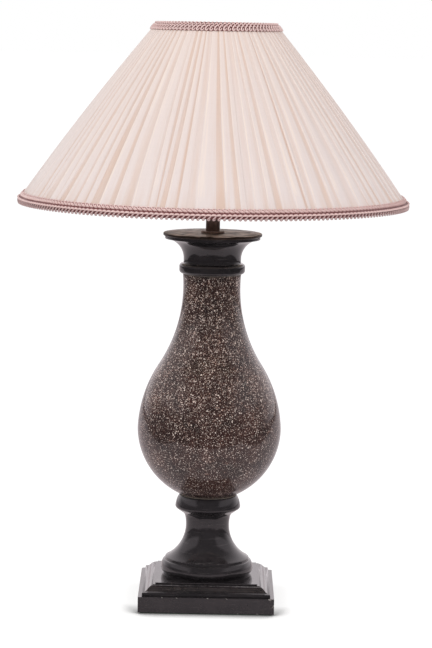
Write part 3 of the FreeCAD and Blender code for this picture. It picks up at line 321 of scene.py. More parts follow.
class EdgeWear(Effect):
    """Where a worn edge is rubbed through, patchy along its length."""

    name = "edge_wear"
    takes = {"Edge": 0.0, "Amount": 1.0, "Scale": 180.0}
    gives = ("Mask",)

    @classmethod
    def lay(cls, sketch: Sketch, given: Sockets) -> tuple[Socket, ...]:
        """Break the edge up with noise.

        Args:
            sketch: The group's sketch.
            given: What the group takes.

        Returns:
            Where it is rubbed.
        """
        patches = sketch.noise(given["Vector"], given["Scale"], 6.0, 0.7)
        lifted = sketch.times(given["Edge"], given["Amount"])
        total = sketch.plus(lifted, sketch.math("SUBTRACT", patches, 1.0))
        return (sketch.remap(total, 0.0, 0.22),)


class Scratches(Effect):
    """Fine lines that run with the tool or cloth that last went over the surface."""

    name = "scratches"
    takes = {"Scale": 60.0}
    gives = ("Mask", "Height")

    @classmethod
    def lay(cls, sketch: Sketch, given: Sockets) -> tuple[Socket, ...]:
        """Take the peaks of a fine noise, which the caller stretches.

        Args:
            sketch: The group's sketch.
            given: What the group takes.

        Returns:
            Where the lines are, and the surface's height.
        """
        lines = sketch.noise(given["Vector"], given["Scale"], 4.0, 0.75)
        return sketch.remap(lines, 0.56, 0.74), lines


class Specks(Effect):
    """Scattered specks of one size, each with its own tone."""

    name = "specks"
    takes = {"Scale": 300.0, "Size": 0.5}
    gives = ("Mask", "Tone")

    @classmethod
    def lay(cls, sketch: Sketch, given: Sockets) -> tuple[Socket, ...]:
        """Draw one speck in each cell of a slightly bent cell pattern.

        Args:
            sketch: The group's sketch.
            given: What the group takes.

        Returns:
            Where the specks are, and each one's tone.
        """
        warp = sketch.add("ShaderNodeTexNoise", {"Vector": given["Vector"], "Scale": given["Scale"]})
        bent = sketch.add("ShaderNodeMix", {0: 0.0018, 4: given["Vector"], 5: warp.outputs["Color"]},
                          data_type="VECTOR")
        cells = sketch.add("ShaderNodeTexVoronoi", {"Vector": bent.outputs[1], "Scale": given["Scale"]})
        size, tone = sketch.add("ShaderNodeSeparateColor", {0: cells.outputs["Color"]}).outputs[:2]
        inside = sketch.math("SUBTRACT", sketch.times(size, given["Size"]), cells.outputs["Distance"])
        return sketch.remap(inside, 0.0, 0.05), tone


class Weave(Effect):
    """Plain weave of threads across a UV map."""

    name = "weave"
    takes = {"Across": 600.0, "Along": 300.0}
    gives = ("Height",)

    @classmethod
    def lay(cls, sketch: Sketch, given: Sockets) -> tuple[Socket, ...]:
        """Cross two waves and make them uneven.

        Args:
            sketch: The group's sketch.
            given: What the group takes.

        Returns:
            The threads' height.
        """
        place = sketch.split(given["Vector"])
        threads = []
        for output, count in (("X", "Across"), ("Y", "Along")):
            phase = sketch.times(place[output], given[count])
            threads.append(sketch.math("SINE", sketch.times(phase, 2 * math.pi)))
        slub = sketch.noise(given["Vector"], 90.0, 5.0, 0.5)
        crossing = sketch.remap(sketch.times(*threads), -1.0, 1.0, smooth=False)
        return (sketch.times(sketch.plus(crossing, slub), 0.5),)


class DustAndSheen(Effect):
    """Dust that settles on what faces up; on the bronze plate it also lightens the top as painted sheen."""

    name = "dust_and_sheen"
    takes = {"Amount": 0.3}
    gives = ("Mask",)

    @classmethod
    def lay(cls, sketch: Sketch, given: Sockets) -> tuple[Socket, ...]:
        """Lay patches of it on the upper sides.

        Args:
            sketch: The group's sketch.
            given: What the group takes.

        Returns:
            Where it lies.
        """
        facing = sketch.split(sketch.add("ShaderNodeNewGeometry").outputs["Normal"])["Z"]
        patches = sketch.remap(sketch.noise(given["Vector"], 65.0, 6.0, 0.5), 0.35, 0.7)
        return (sketch.times(sketch.times(sketch.remap(facing, 0.35, 1.0), patches), given["Amount"]),)


# Finishes


def new_material(name: str) -> tuple[bpy.types.Material, Sketch, bpy.types.Node]:
    """Start a material.

    Args:
        name: The material's name.

    Returns:
        The material, a sketch on its tree, and its Principled BSDF.
    """
    material = bpy.data.materials.new(name)
    material.use_nodes = True
    return material, Sketch(material.node_tree), material.node_tree.nodes["Principled BSDF"]


@dataclass(frozen=True)
class Finish:
    """A material whose tone, gloss and skin vary over the surface."""

    name: str

    def inputs(self, sketch: Sketch, place: Socket) -> Inputs:
        """Lay out the finish.

        Args:
            sketch: The material's sketch.
            place: The object's own coordinates.

        Returns:
            What feeds each of the shader's inputs.
        """
        raise NotImplementedError

    def build(self) -> bpy.types.Material:
        """Make the material.

        Returns:
            The material.
        """
        material, sketch, surface = new_material(self.name)
        sketch.feed(surface, self.inputs(sketch, sketch.object_place()))
        return material


@dataclass(frozen=True)
class PolishedStone(Finish):
    """Black stone with a polish, faint grey clouds, tool lines, rubbed edges and painted shade in its concave
    corners.
    """

    name: str = "polished_black_stone"
    ground: Colour = (0.0112, 0.0106, 0.0115, 1)
    cloud: Colour = (0.0230, 0.0195, 0.0215, 1)
    worn: Colour = (0.26, 0.235, 0.24, 1)
    # Colour of the painted shade in concave corners.
    crevice_shade_colour: Colour = (0.004, 0.003, 0.003, 1)
    lines: Point3 = (0.5, 0.5, 9.0)
    gloss: float = 1.43

    def inputs(self, sketch: Sketch, place: Socket) -> Inputs:
        """Rub the edges of a clouded ground, and leave its concave corners dull and darkened with painted
        shade.

        Args:
            sketch: The material's sketch.
            place: The object's own coordinates.

        Returns:
            What feeds each of the shader's inputs.
        """
        cloud = Clouding.on(sketch, place, Scale=26.0, Contrast=2.6)[0]
        lines = Scratches.on(sketch, sketch.stretched(place, self.lines), Scale=55.0)
        edge, crevice_shade = sketch.stored(Attribute.WEAR), sketch.stored(Attribute.GRIME)
        wear = EdgeWear.on(sketch, place, Edge=edge, Amount=0.61, Scale=240.0)[0]
        dust_and_sheen = DustAndSheen.on(sketch, place, Amount=0.05)[0]
        colour = sketch.blend(cloud, self.ground, self.cloud)
        colour = sketch.blend(sketch.times(lines["Mask"], 0.22), colour, self.worn)
        colour = sketch.blend(sketch.math("MAXIMUM", wear, dust_and_sheen), colour, self.worn)
        smudge = sketch.remap(sketch.noise(place, 34.0, 5.0, 0.65), 0.40, 0.72)
        dull = sketch.plus(sketch.times(wear, 0.3), sketch.times(crevice_shade, 0.55))
        fine = sketch.bump(sketch.noise(place, 900.0, 4.0), 0.00004, 0.25)
        return {
            # Painted shade: the stored mask darkens every concave corner.
            "Base Color": sketch.blend(crevice_shade, colour, self.crevice_shade_colour),
            "Roughness": sketch.plus(sketch.remap(smudge, 0.0, 1.0, 0.09, 0.20), dull),
            "Normal": sketch.bump(lines["Height"], 0.00010, 0.30, fine),
            "IOR": self.gloss, "Coat IOR": self.gloss, "Coat Weight": 0.45, "Coat Roughness": 0.08,
            "Specular Tint": (1.0, 0.955, 1.0, 1),
        }


@dataclass(frozen=True)
class FreshStone(Finish):
    """The pale dull inside of a chip."""

    name: str = "chipped_stone"
    deep: Colour = (0.17, 0.155, 0.15, 1)
    pale: Colour = (0.46, 0.43, 0.415, 1)

    def inputs(self, sketch: Sketch, place: Socket) -> Inputs:
        """Grain the broken face.

        Args:
            sketch: The material's sketch.
            place: The object's own coordinates.

        Returns:
            What feeds each of the shader's inputs.
        """
        grain = sketch.noise(place, 1500.0, 5.0)
        return {
            "Base Color": sketch.blend(sketch.remap(grain, 0.3, 0.7), self.deep, self.pale),
            "Roughness": sketch.remap(grain, 0.2, 0.8, 0.65, 0.9),
            "Normal": sketch.bump(grain, 0.0003),
        }


@dataclass(frozen=True)
class SpeckledGlaze(Finish):
    """Brown-black ground with dense cream specks of several sizes under a deep gloss.

    Each layer holds the specks' count per metre, their size and how strongly they show.
    """

    name: str = "speckled_body"
    ground: Colour = (0.0095, 0.0040, 0.0036, 1)
    brown: Colour = (0.052, 0.019, 0.0145, 1)
    cream: Colour = (1.0, 0.90, 0.815, 1)
    beige: Colour = (0.34, 0.205, 0.16, 1)
    sparse_at: float = 0.19
    dense_at: float = 0.29
    layers: tuple[Point3, ...] = (
        (1050.0, 0.42, 0.42), (700.0, 0.40, 0.90), (480.0, 0.40, 1.0),
    )

    def inputs(self, sketch: Sketch, place: Socket) -> Inputs:
        """Scatter the specks layer by layer, denser towards the neck.

        Args:
            sketch: The material's sketch.
            place: The object's own coordinates.

        Returns:
            What feeds each of the shader's inputs.
        """
        cloud = Clouding.on(sketch, place, Scale=22.0, Contrast=3.0)[0]
        colour = sketch.blend(cloud, self.ground, self.brown)
        dense = sketch.remap(sketch.split(place)["Z"], self.sparse_at, self.dense_at, 0.94, 1.12)
        thick = sketch.times(sketch.remap(cloud, 0.0, 1.0, 0.82, 1.12, smooth=False), dense)
        for number, (scale, size, share) in enumerate(self.layers):
            turned = sketch.stretched(place, (1, 1, 1), (0.4 * number, 0.7 * number, 0.2 * number))
            specks = Specks.on(sketch, turned, Scale=scale, Size=sketch.times(thick, size))
            tint = sketch.blend(specks["Tone"], self.beige, self.cream)
            colour = sketch.blend(sketch.times(specks["Mask"], share), colour, tint)
        return {
            "Base Color": colour,
            "Roughness": sketch.remap(cloud, 0.0, 1.0, 0.42, 0.55),
            "Normal": sketch.bump(sketch.noise(place, 160.0, 2.0), 0.0004, 0.12),
            "Specular IOR Level": 0.15, "Coat Weight": 1.0, "Coat Roughness": 0.06, "Coat IOR": 1.5,
            "Coat Tint": (1.0, 0.97, 0.975, 1),
        }


@dataclass(frozen=True)
class Woven(Finish):
    """Woven cloth: its streaks, its threads and the skin that they share."""

    threads: Point = (2400.0, 420.0)
    roughness: Point = (0.42, 0.62)
    streaks: Point = (520.0, 3.0)
    streak_detail: float = 0.6
    cloud_scale: float = 9.0
    crease: float = 0.35
    depth: float = 0.00012
    thread_dark: float = 0.965
    sheen: float = 0.25

    def colour(self, sketch: Sketch, fold: Socket, streak: Socket, cloud: Socket) -> Socket:
        """Colour the cloth by its stored fold value, which paints light and shade on the folds of the silk
        and lining.

        Args:
            sketch: The material's sketch.
            fold: The fold's value at each point.
            streak: Fine streaks along the cloth.
            cloud: Broad uneven tone.

        Returns:
            The colour's output.
        """
        raise NotImplementedError

    def inputs(self, sketch: Sketch, place: Socket) -> Inputs:
        """Weave the threads over the folded colour.

        Args:
            sketch: The material's sketch.
            place: The object's own coordinates.

        Returns:
            What feeds each of the shader's inputs.
        """
        flat = sketch.uv_place()
        cloud = Clouding.on(sketch, place, Scale=self.cloud_scale, Contrast=3.0)[0]
        streak = sketch.noise(sketch.stretched(flat, (*self.streaks, 1.0)), 1.0, 3.0, self.streak_detail)
        weave = Weave.on(sketch, flat, Across=self.threads[0], Along=self.threads[1])[0]
        colour = self.colour(sketch, sketch.stored(Attribute.FOLD), streak, cloud)
        thread = sketch.remap(weave, 0.2, 0.8, self.thread_dark, 1.0)
        return {
            "Base Color": sketch.blend(1.0, colour, thread, "MULTIPLY"),
            "Roughness": sketch.remap(streak, 0.2, 0.8, *self.roughness),
            "Normal": sketch.bump(weave, self.depth, 0.5, sketch.bump(streak, 0.0005, self.crease)),
            "Sheen Weight": self.sheen, "Sheen Roughness": 0.4,
        }


@dataclass(frozen=True)
class PleatedSilk(Woven):
    """Thin silk in pleats: a painted highlight along each crest, pale on the face, and warmer where it lies
    in two layers and in the painted shade of each valley.
    """

    name: str = "pleated_silk"
    roughness: Point = (0.42, 0.60)
    streaks: Point = (420.0, 2.0)
    streak_detail: float = 0.65
    cloud_scale: float = 7.0
    crease: float = 0.30
    thread_dark: float = 0.97
    # Painted highlight along each crest.
    crest: Colour = (0.96, 0.83, 0.76, 1)
    face_low: Colour = (0.855, 0.760, 0.745, 1)
    face_high: Colour = (0.890, 0.760, 0.710, 1)
    # The colour of the cloth in two layers, which also paints the shade of each valley.
    double_and_valley_shade: Colour = (0.745, 0.590, 0.525, 1)
    double_and_valley_shade_warm: Colour = (0.800, 0.595, 0.490, 1)

    def colour(self, sketch: Sketch, fold: Socket, streak: Socket, cloud: Socket) -> Socket:
        """Go from the painted crest highlight over the face to the cloth in two layers and the painted shade
        of the valley.

        Args:
            sketch: The material's sketch.
            fold: The fold's value at each point.
            streak: Fine streaks along the cloth.
            cloud: Broad uneven tone.

        Returns:
            The colour's output.
        """
        face = sketch.blend(sketch.split(sketch.uv_place())["Y"], self.face_low, self.face_high)
        double_and_valley_shade = sketch.blend(cloud, self.double_and_valley_shade, self.double_and_valley_shade_warm)
        share = sketch.plus(fold, sketch.times(sketch.math("SUBTRACT", streak, 0.5), 0.85))
        colour = sketch.blend(sketch.remap(share, 0.0, 0.22), self.crest, face)
        return sketch.blend(sketch.remap(share, 0.25, 1.0, smooth=False), colour, double_and_valley_shade)


@dataclass(frozen=True)
class Cloth(Woven):
    """Plain cloth that goes from a face colour to a deeper fold colour where its stored fold value is high:
    painted shade in the lining's gathers, a random tone on the baize.
    """

    face: Colour = (0.5, 0.5, 0.5, 1)
    fold: Colour = (0.4, 0.4, 0.4, 1)
    glow: Colour = (0.4, 0.4, 0.4, 1)

    def colour(self, sketch: Sketch, fold: Socket, streak: Socket, cloud: Socket) -> Socket:
        """Go from the face to the fold.

        Args:
            sketch: The material's sketch.
            fold: The fold's value at each point.
            streak: Fine streaks along the cloth.
            cloud: Broad uneven tone.

        Returns:
            The colour's output.
        """
        shift = sketch.times(sketch.math("SUBTRACT", streak, 0.5), 0.5)
        share = sketch.math("ADD", fold, shift, clamp=True)
        return sketch.blend(share, self.face, sketch.blend(cloud, self.fold, self.glow))


@dataclass(frozen=True)
class Metal(Finish):
    """Metal with a patina or tarnish, fine turning lines, rubbed edges and, where it has any, dust that also
    lightens up-facing tops as painted sheen.
    """

    ground: Colour
    tarnish: Colour
    rubbed: Colour
    roughness: Point = (0.25, 0.45)
    metallic: float = 1.0
    wear: float = 0.6
    cloud_scale: float = 45.0
    dust_and_sheen: float = 0.0
    dust_and_sheen_colour: Colour = (0.60, 0.50, 0.47, 1)
    lines: Point3 = (1.0, 1.0, 12.0)

    def inputs(self, sketch: Sketch, place: Socket) -> Inputs:
        """Tarnish the ground, rub its edges and lay the dust, which also paints a sheen on up-facing tops.

        Args:
            sketch: The material's sketch.
            place: The object's own coordinates.

        Returns:
            What feeds each of the shader's inputs.
        """
        cloud = Clouding.on(sketch, place, Scale=self.cloud_scale, Contrast=3.2)[0]
        lines = Scratches.on(sketch, sketch.stretched(place, self.lines), Scale=190.0)
        edge = sketch.stored(Attribute.WEAR)
        wear = EdgeWear.on(sketch, place, Edge=edge, Amount=self.wear, Scale=400.0)[0]
        colour = sketch.blend(cloud, self.ground, self.tarnish)
        colour = sketch.blend(sketch.times(lines["Mask"], 0.3), colour, self.rubbed)
        colour, bare = sketch.blend(wear, colour, self.rubbed), self.metallic
        if self.dust_and_sheen:
            dust_and_sheen = DustAndSheen.on(sketch, place, Amount=self.dust_and_sheen)[0]
            colour = sketch.blend(dust_and_sheen, colour, self.dust_and_sheen_colour)
            bare = sketch.times(sketch.math("SUBTRACT", 1.0, dust_and_sheen), self.metallic)
        return {
            "Base Color": colour,
            "Roughness": sketch.remap(cloud, 0.0, 1.0, *self.roughness),
            "Metallic": bare,
            "Normal": sketch.bump(lines["Height"], 0.00008, 0.5),
        }


@dataclass(frozen=True)
class Moulded(Finish):
    """Plastic, porcelain, enamel or other plain hard material with an uneven skin."""

    ground: Colour
    shade: Colour
    roughness: Point = (0.3, 0.5)
    grain: float = 300.0
    depth: float = 0.0001
    coat: float = 0.0

    def inputs(self, sketch: Sketch, place: Socket) -> Inputs:
        """Cloud the ground and roughen its skin.

        Args:
            sketch: The material's sketch.
            place: The object's own coordinates.

        Returns:
            What feeds each of the shader's inputs.
        """
        cloud = Clouding.on(sketch, place, Scale=self.grain / 6, Contrast=2.5)[0]
        return {
            "Base Color": sketch.blend(cloud, self.ground, self.shade),
            "Roughness": sketch.remap(cloud, 0.0, 1.0, *self.roughness),
            "Normal": sketch.bump(sketch.noise(place, self.grain, 4.0), self.depth, 0.5),
            "Coat Weight": self.coat,
        }


@dataclass(frozen=True)
class TurnedWood(Finish):
    """Plain pale wood with its rings."""

    name: str = "turned_wood"
    late: Colour = (0.30, 0.17, 0.085, 1)
    early: Colour = (0.50, 0.33, 0.19, 1)

    def inputs(self, sketch: Sketch, place: Socket) -> Inputs:
        """Draw the rings.

        Args:
            sketch: The material's sketch.
            place: The object's own coordinates.

        Returns:
            What feeds each of the shader's inputs.
        """
        rings = sketch.add("ShaderNodeTexWave", {
            "Vector": sketch.stretched(place, (1, 1, 0.15)), "Scale": 60.0, "Distortion": 4.0, "Detail": 3.0,
            "Detail Scale": 2.0}).outputs["Fac"]
        return {
            "Base Color": sketch.blend(rings, self.late, self.early),
            "Roughness": sketch.remap(rings, 0.0, 1.0, 0.45, 0.6),
            "Normal": sketch.bump(rings, 0.0002, 0.5),
        }


@dataclass(frozen=True)
class LampGlass(Finish):
    """Blown glass, clear or with a pearl frost inside."""

    tint: Colour
    roughness: float
    transmission: float

    def inputs(self, sketch: Sketch, place: Socket) -> Inputs:
        """Make the frost and the skin a little uneven.

        Args:
            sketch: The material's sketch.
            place: The object's own coordinates.

        Returns:
            What feeds each of the shader's inputs.
        """
        cloud = sketch.noise(place, 120.0, 3.0)
        return {
            "Base Color": self.tint, "Transmission Weight": self.transmission, "IOR": 1.47,
            "Roughness": sketch.remap(cloud, 0.2, 0.8, self.roughness * 0.8, self.roughness * 1.2),
            "Normal": sketch.bump(cloud, 0.0003, 0.2),
        }


@dataclass(frozen=True)
class Yarn(Finish):
    """Twisted silk yarn, painted lighter on the strands as a highlight and darker between them as shade."""

    strand: Colour
    shade_between_strands: Colour
    turns: Point = (3.0, 2.0)

    def inputs(self, sketch: Sketch, place: Socket) -> Inputs:
        """Twist the strands along the yarn's UV map.

        Args:
            sketch: The material's sketch.
            place: The object's own coordinates.

        Returns:
            What feeds each of the shader's inputs.
        """
        flat = sketch.split(sketch.uv_place())
        phase = sketch.plus(sketch.times(flat["X"], self.turns[0]), sketch.times(flat["Y"], self.turns[1]))
        ridge = sketch.remap(sketch.math("SINE", sketch.times(phase, 2 * math.pi)), -0.9, 0.6)
        cloud = Clouding.on(sketch, place, Scale=70.0, Contrast=3.0)[0]
        # Painted highlight on the strands and painted shade between them.
        colour = sketch.blend(ridge, self.shade_between_strands, self.strand)
        fuzz = sketch.bump(sketch.noise(place, 2600.0, 3.0), 0.0002, 0.5)
        return {
            "Base Color": sketch.blend(sketch.times(cloud, 0.45), colour, self.shade_between_strands),
            "Roughness": sketch.remap(cloud, 0.0, 1.0, 0.5, 0.75),
            "Normal": sketch.bump(ridge, 0.00025, 0.7, fuzz),
            "Sheen Weight": 0.3,
        }


class Palette:
    """The lamp's finishes, one for each of the record's material slots."""

    def __init__(self) -> None:
        """Make every finish once."""
        finishes = {
            "black_stone": PolishedStone(),
            "chip": FreshStone(),
            "speckled_body": SpeckledGlaze(),
            # The plate's dust amount is also painted sheen: it lightens the top where it faces up.
            "bronze": Metal("dark_bronze", (0.080, 0.059, 0.051, 1), (0.033, 0.024, 0.020, 1),
                            (0.26, 0.21, 0.18, 1), (0.30, 0.46), 0.85, 0.50, dust_and_sheen=1.0),
            # A lighter copy of the bronze, painted lighter for the light that the flange and tube get under
            # the shade.
            "lit_bronze_tube": Metal("lit_bronze", (0.235, 0.168, 0.148, 1), (0.105, 0.072, 0.062, 1),
                                 (0.36, 0.29, 0.25, 1), (0.30, 0.46), 0.85, 0.55, dust_and_sheen=0.5),
            "brass": Metal("aged_brass", (0.62, 0.44, 0.20, 1), (0.34, 0.22, 0.10, 1),
                           (0.80, 0.62, 0.34, 1), (0.22, 0.42)),
            "steel": Metal("bright_steel", (0.52, 0.51, 0.49, 1), (0.34, 0.33, 0.31, 1),
                           (0.70, 0.69, 0.67, 1)),
            "bulb_metal": Metal("rolled_aluminium", (0.74, 0.74, 0.72, 1), (0.55, 0.55, 0.54, 1),
                                (0.85, 0.85, 0.84, 1), (0.2, 0.35)),
            "solder": Metal("tinned_contact", (0.58, 0.58, 0.59, 1), (0.36, 0.36, 0.37, 1),
                            (0.7, 0.7, 0.7, 1), (0.3, 0.5), cloud_scale=300.0),
            "filament": Metal("tungsten_wire", (0.22, 0.22, 0.23, 1), (0.12, 0.12, 0.12, 1),
                              (0.4, 0.4, 0.4, 1)),
            "frame_enamel": Moulded("coated_wire", (0.80, 0.75, 0.68, 1), (0.66, 0.60, 0.52, 1),
                                    (0.3, 0.45), 500.0),
            "pad": Moulded("fibre_pad", (0.36, 0.31, 0.27, 1), (0.22, 0.18, 0.15, 1), (0.8, 0.95), 1800.0,
                           0.0003),
            "bush_plastic": Moulded("moulded_bush", (0.020, 0.018, 0.016, 1), (0.035, 0.030, 0.027, 1),
                                    (0.4, 0.6), 1400.0),
            "bakelite": Moulded("dark_resin", (0.055, 0.026, 0.014, 1), (0.095, 0.045, 0.022, 1),
                                (0.2, 0.35), coat=0.4),
            "porcelain": Moulded("white_porcelain", (0.80, 0.78, 0.72, 1), (0.70, 0.67, 0.61, 1),
                                 (0.12, 0.25), 240.0, coat=0.6),
            "disc_wood": TurnedWood(),
            "bulb_glass": LampGlass("pearl_glass", (0.93, 0.93, 0.92, 1), 0.42, 0.85),
            "clear_glass": LampGlass("clear_glass", (0.92, 0.95, 0.94, 1), 0.04, 1.0),
            "silk": PleatedSilk(),
            "lining": Cloth("silk_lining", face=(0.82, 0.72, 0.64, 1), fold=(0.72, 0.58, 0.48, 1),
                            glow=(0.74, 0.60, 0.50, 1)),
            "baize": Cloth("green_baize", face=(0.034, 0.085, 0.045, 1), fold=(0.014, 0.038, 0.020, 1),
                           glow=(0.052, 0.105, 0.062, 1), threads=(160.0, 160.0), roughness=(0.85, 0.98),
                           sheen=0.5, depth=0.0004),
            "braid": Yarn("rose_gimp", (0.97, 0.77, 0.74, 1), (0.86, 0.57, 0.55, 1)),
            "braid_pale": Yarn("pale_rose_gimp", (0.96, 0.73, 0.70, 1), (0.82, 0.53, 0.51, 1)),
            # A darker copy of the rose gimp for the hanging loops: painted shade under the cord.
            "braid_in_shade": Yarn("shaded_rose_gimp", (0.76, 0.55, 0.54, 1), (0.46, 0.275, 0.27, 1)),
            # Maroon core yarn, also used as painted shade in the loops' centres and along the bottom braid's
            # line.
            "braid_core_and_shade": Yarn("maroon_core_and_shade", (0.24, 0.070, 0.068, 1), (0.13, 0.032, 0.032, 1), (320.0, 3.0)),
            "braid_ground": Yarn("rose_ground", (0.62, 0.36, 0.345, 1), (0.42, 0.20, 0.195, 1), (320.0, 3.0)),
        }
        self.materials = {slot: finish.build() for slot, finish in finishes.items()}

    def dress(self, piece: bpy.types.Object, slot: str) -> None:
        """Give a piece one finish all over.

        Args:
            piece: The object.
            slot: Name of the finish.
        """
        piece.data.materials.clear()
        piece.data.materials.append(self.materials[slot])

    def finish(self, piece: bpy.types.Object, body: Body, finish: str, *nodes: str, slot: str = "") -> None:
        """Dress a piece and tie it to the frame.

        Args:
            piece: The object.
            body: The body that it rides on.
            finish: Name of its finish.
            nodes: The CAD nodes that it replaces.
            slot: The record's material slot, where it isn't the finish's own name.
        """
        self.dress(piece, finish)
        tie(piece, body, slot or finish, *nodes)

    def dress_solids(self) -> None:
        """Give every CAD node the finish of its material slot in the record."""
        for entry in frame["record"]["subparts"]:
            node = frame["nodes"][entry["node"]]
            for slot in node.material_slots:
                slot.material = self.materials[entry["material_slot"]]


# Making meshes


def deselect() -> None:
    """Leave nothing selected."""
    bpy.ops.object.select_all(action="DESELECT")


@contextmanager
def editing() -> Iterator[None]:
    """Edit the active piece with all of it selected, then leave edit mode."""
    bpy.ops.object.mode_set(mode="EDIT")
    bpy.ops.mesh.select_all(action="SELECT")
    yield
    bpy.ops.object.mode_set(mode="OBJECT")


def close_seams(threshold: float = 1e-6) -> None:
    """Merge the doubles of the piece in edit mode and point its faces outwards.

    Args:
        threshold: Distance under which two vertices are one, in metres.
    """
    bpy.ops.mesh.select_all(action="SELECT")
    bpy.ops.mesh.remove_doubles(threshold=threshold)
    bpy.ops.mesh.normals_make_consistent(inside=False)


def named(name: str) -> bpy.types.Object:
    """Name the object that was just added.

    Args:
        name: The object's name.

    Returns:
        The object.
    """
    piece = bpy.context.object
    piece.name = piece.data.name = name
    return piece


def rotate_mesh(angle: float, axis: str, centre: Vector) -> None:
    """Turn what is selected in edit mode counter-clockwise about an axis through a point.

    Args:
        angle: The turn, in radians.
        axis: Name of the axis.
        centre: A point on the axis.
    """
    bpy.ops.transform.rotate(value=-angle, orient_axis=axis, orient_type="GLOBAL",
                             center_override=centre)


def shortest_turn(angle: float) -> float:
    """The same turn, from minus to plus half a circle."""
    return (angle + math.pi) % (2 * math.pi) - math.pi


def pick(piece: bpy.types.Object) -> None:
    """Select one object alone and make it the active one.

    Args:
        piece: The object.
    """
    deselect()
    piece.select_set(True)
    bpy.context.view_layer.objects.active = piece


def apply_modifier(piece: bpy.types.Object, kind: str, **settings: object) -> None:
    """Add a modifier, set it and apply it at once.

    Args:
        piece: The object.
        kind: Blender's name of the modifier type.
        settings: The modifier's properties.
    """
    pick(piece)
    modifier = piece.modifiers.new(kind.lower(), kind)
    for name, setting in settings.items():
        setattr(modifier, name, setting)
    bpy.ops.object.modifier_apply(modifier=modifier.name)


def settle(piece: bpy.types.Object) -> None:
    """Put a piece's place, turn and size into its mesh."""
    pick(piece)
    bpy.ops.object.transform_apply(location=True, rotation=True, scale=True)


def smooth(piece: bpy.types.Object, angle: float = 32.0) -> None:
    """Shade a piece smooth up to an angle between its faces, in degrees."""
    pick(piece)
    bpy.ops.object.shade_smooth_by_angle(angle=math.radians(angle))


def store(piece: bpy.types.Object, attribute: Attribute, values: Sequence[float]) -> None:
    """Store one number per vertex for the material.

    Args:
        piece: The object.
        attribute: What the numbers are.
        values: One number for each vertex.
    """
    layer = piece.data.attributes.new(attribute.value, "FLOAT", "POINT")
    layer.data.foreach_set("value", values)


def store_wear_and_crevice_shade(piece: bpy.types.Object, sharp: float = 13.0) -> None:
    """Mark the vertices on the crown of each convex edge, to be rubbed, and in each concave corner, to be
    dull and darkened as painted shade.

    Args:
        piece: The object.
        sharp: Angle in degrees that every face at a vertex has to lean away from its normal.
    """
    mesh = piece.data
    leans = [math.pi] * len(mesh.vertices)
    convex, sunk = [True] * len(mesh.vertices), [True] * len(mesh.vertices)
    for polygon in mesh.polygons:
        for index in polygon.vertices:
            vertex = mesh.vertices[index]
            leans[index] = min(leans[index], vertex.normal.angle(polygon.normal, 0.0))
            if (polygon.center - vertex.co).dot(vertex.normal) > 0:
                convex[index] = False
            else:
                sunk[index] = False
    for attribute, marks in ((Attribute.WEAR, convex), (Attribute.GRIME, sunk)):
        values = [float(mark and lean > math.radians(sharp)) for mark, lean in zip(marks, leans)]
        store(piece, attribute, values)


@dataclass
class Profile:
    """Half section of a turned piece in millimetres, walked from corner to corner."""

    start: Point
    points: list[Point] = field(init=False)

    def __post_init__(self) -> None:
        """Begin at the start."""
        self.points = [self.start]

    def to(self, *corners: Point) -> "Profile":
        """Go straight to each corner in turn."""
        self.points.extend(corners)
        return self

    def arc(self, end: Point, radius: float, swell: bool = True, steps: int = 10) -> "Profile":
        """Go to a point along the short arc of a radius.

        Args:
            end: Where the arc ends.
            radius: Its radius.
            swell: Whether it stands out from the piece, walked counter-clockwise, or cuts into it.
            steps: Number of straight edges it is made of.

        Returns:
            The profile itself.
        """
        start, finish = Vector(self.points[-1]), Vector(end)
        along = finish - start
        left = Vector((-along.y, along.x)).normalized()
        reach = math.sqrt(max(radius ** 2 - along.length_squared / 4, 0.0))
        centre = (start + finish) / 2 + left * (reach if swell else -reach)
        spoke = start - centre
        turn = 2 * math.asin(min(1.0, along.length / (2 * radius))) * (1 if swell else -1)
        for step in range(1, steps + 1):
            angle = turn * step / steps
            cosine, sine = math.cos(angle), math.sin(angle)
            self.points.append((centre.x + spoke.x * cosine - spoke.y * sine,
                                centre.y + spoke.x * sine + spoke.y * cosine))
        return self


def turn(name: str, profile: Profile, steps: int = 144) -> bpy.types.Object:
    """Turn a profile about the column's axis.

    Args:
        name: The piece's name.
        profile: Its half section, walked counter-clockwise.
        steps: Number of faces round the piece.

    Returns:
        The piece.
    """
    deselect()
    bpy.ops.mesh.primitive_plane_add(size=MM)
    piece = named(name)
    corners = [*profile.points, profile.points[0]]
    with editing():
        bpy.ops.mesh.merge(type="CENTER")
        bpy.ops.transform.translate(value=(corners[0][0] * MM, 0, corners[0][1] * MM))
        for (across, up), (next_across, next_up) in zip(corners, corners[1:]):
            move = ((next_across - across) * MM, 0, (next_up - up) * MM)
            bpy.ops.mesh.extrude_region_move(TRANSFORM_OT_translate={"value": move})
        bpy.ops.mesh.select_all(action="SELECT")
        bpy.ops.mesh.remove_doubles(threshold=1e-6)
        bpy.ops.mesh.select_all(action="SELECT")
        bpy.ops.mesh.spin(steps=steps, angle=2 * math.pi, center=(0, 0, 0), axis=(0, 0, 1))
        close_seams()
    return piece


def soften(piece: bpy.types.Object, width: float, segments: int = 2, angle: float = 38.0) -> None:
    """Round the sharp edges of a piece and mark them for wear.

    Args:
        piece: The object.
        width: Width of the rounding, in millimetres.
        segments: Number of faces across it.
        angle: Angle from which an edge is rounded, in degrees.
    """
    apply_modifier(piece, "BEVEL", width=width * MM, segments=segments, limit_method="ANGLE",
                   angle_limit=math.radians(angle), use_clamp_overlap=True)
    store_wear_and_crevice_shade(piece)
    smooth(piece)


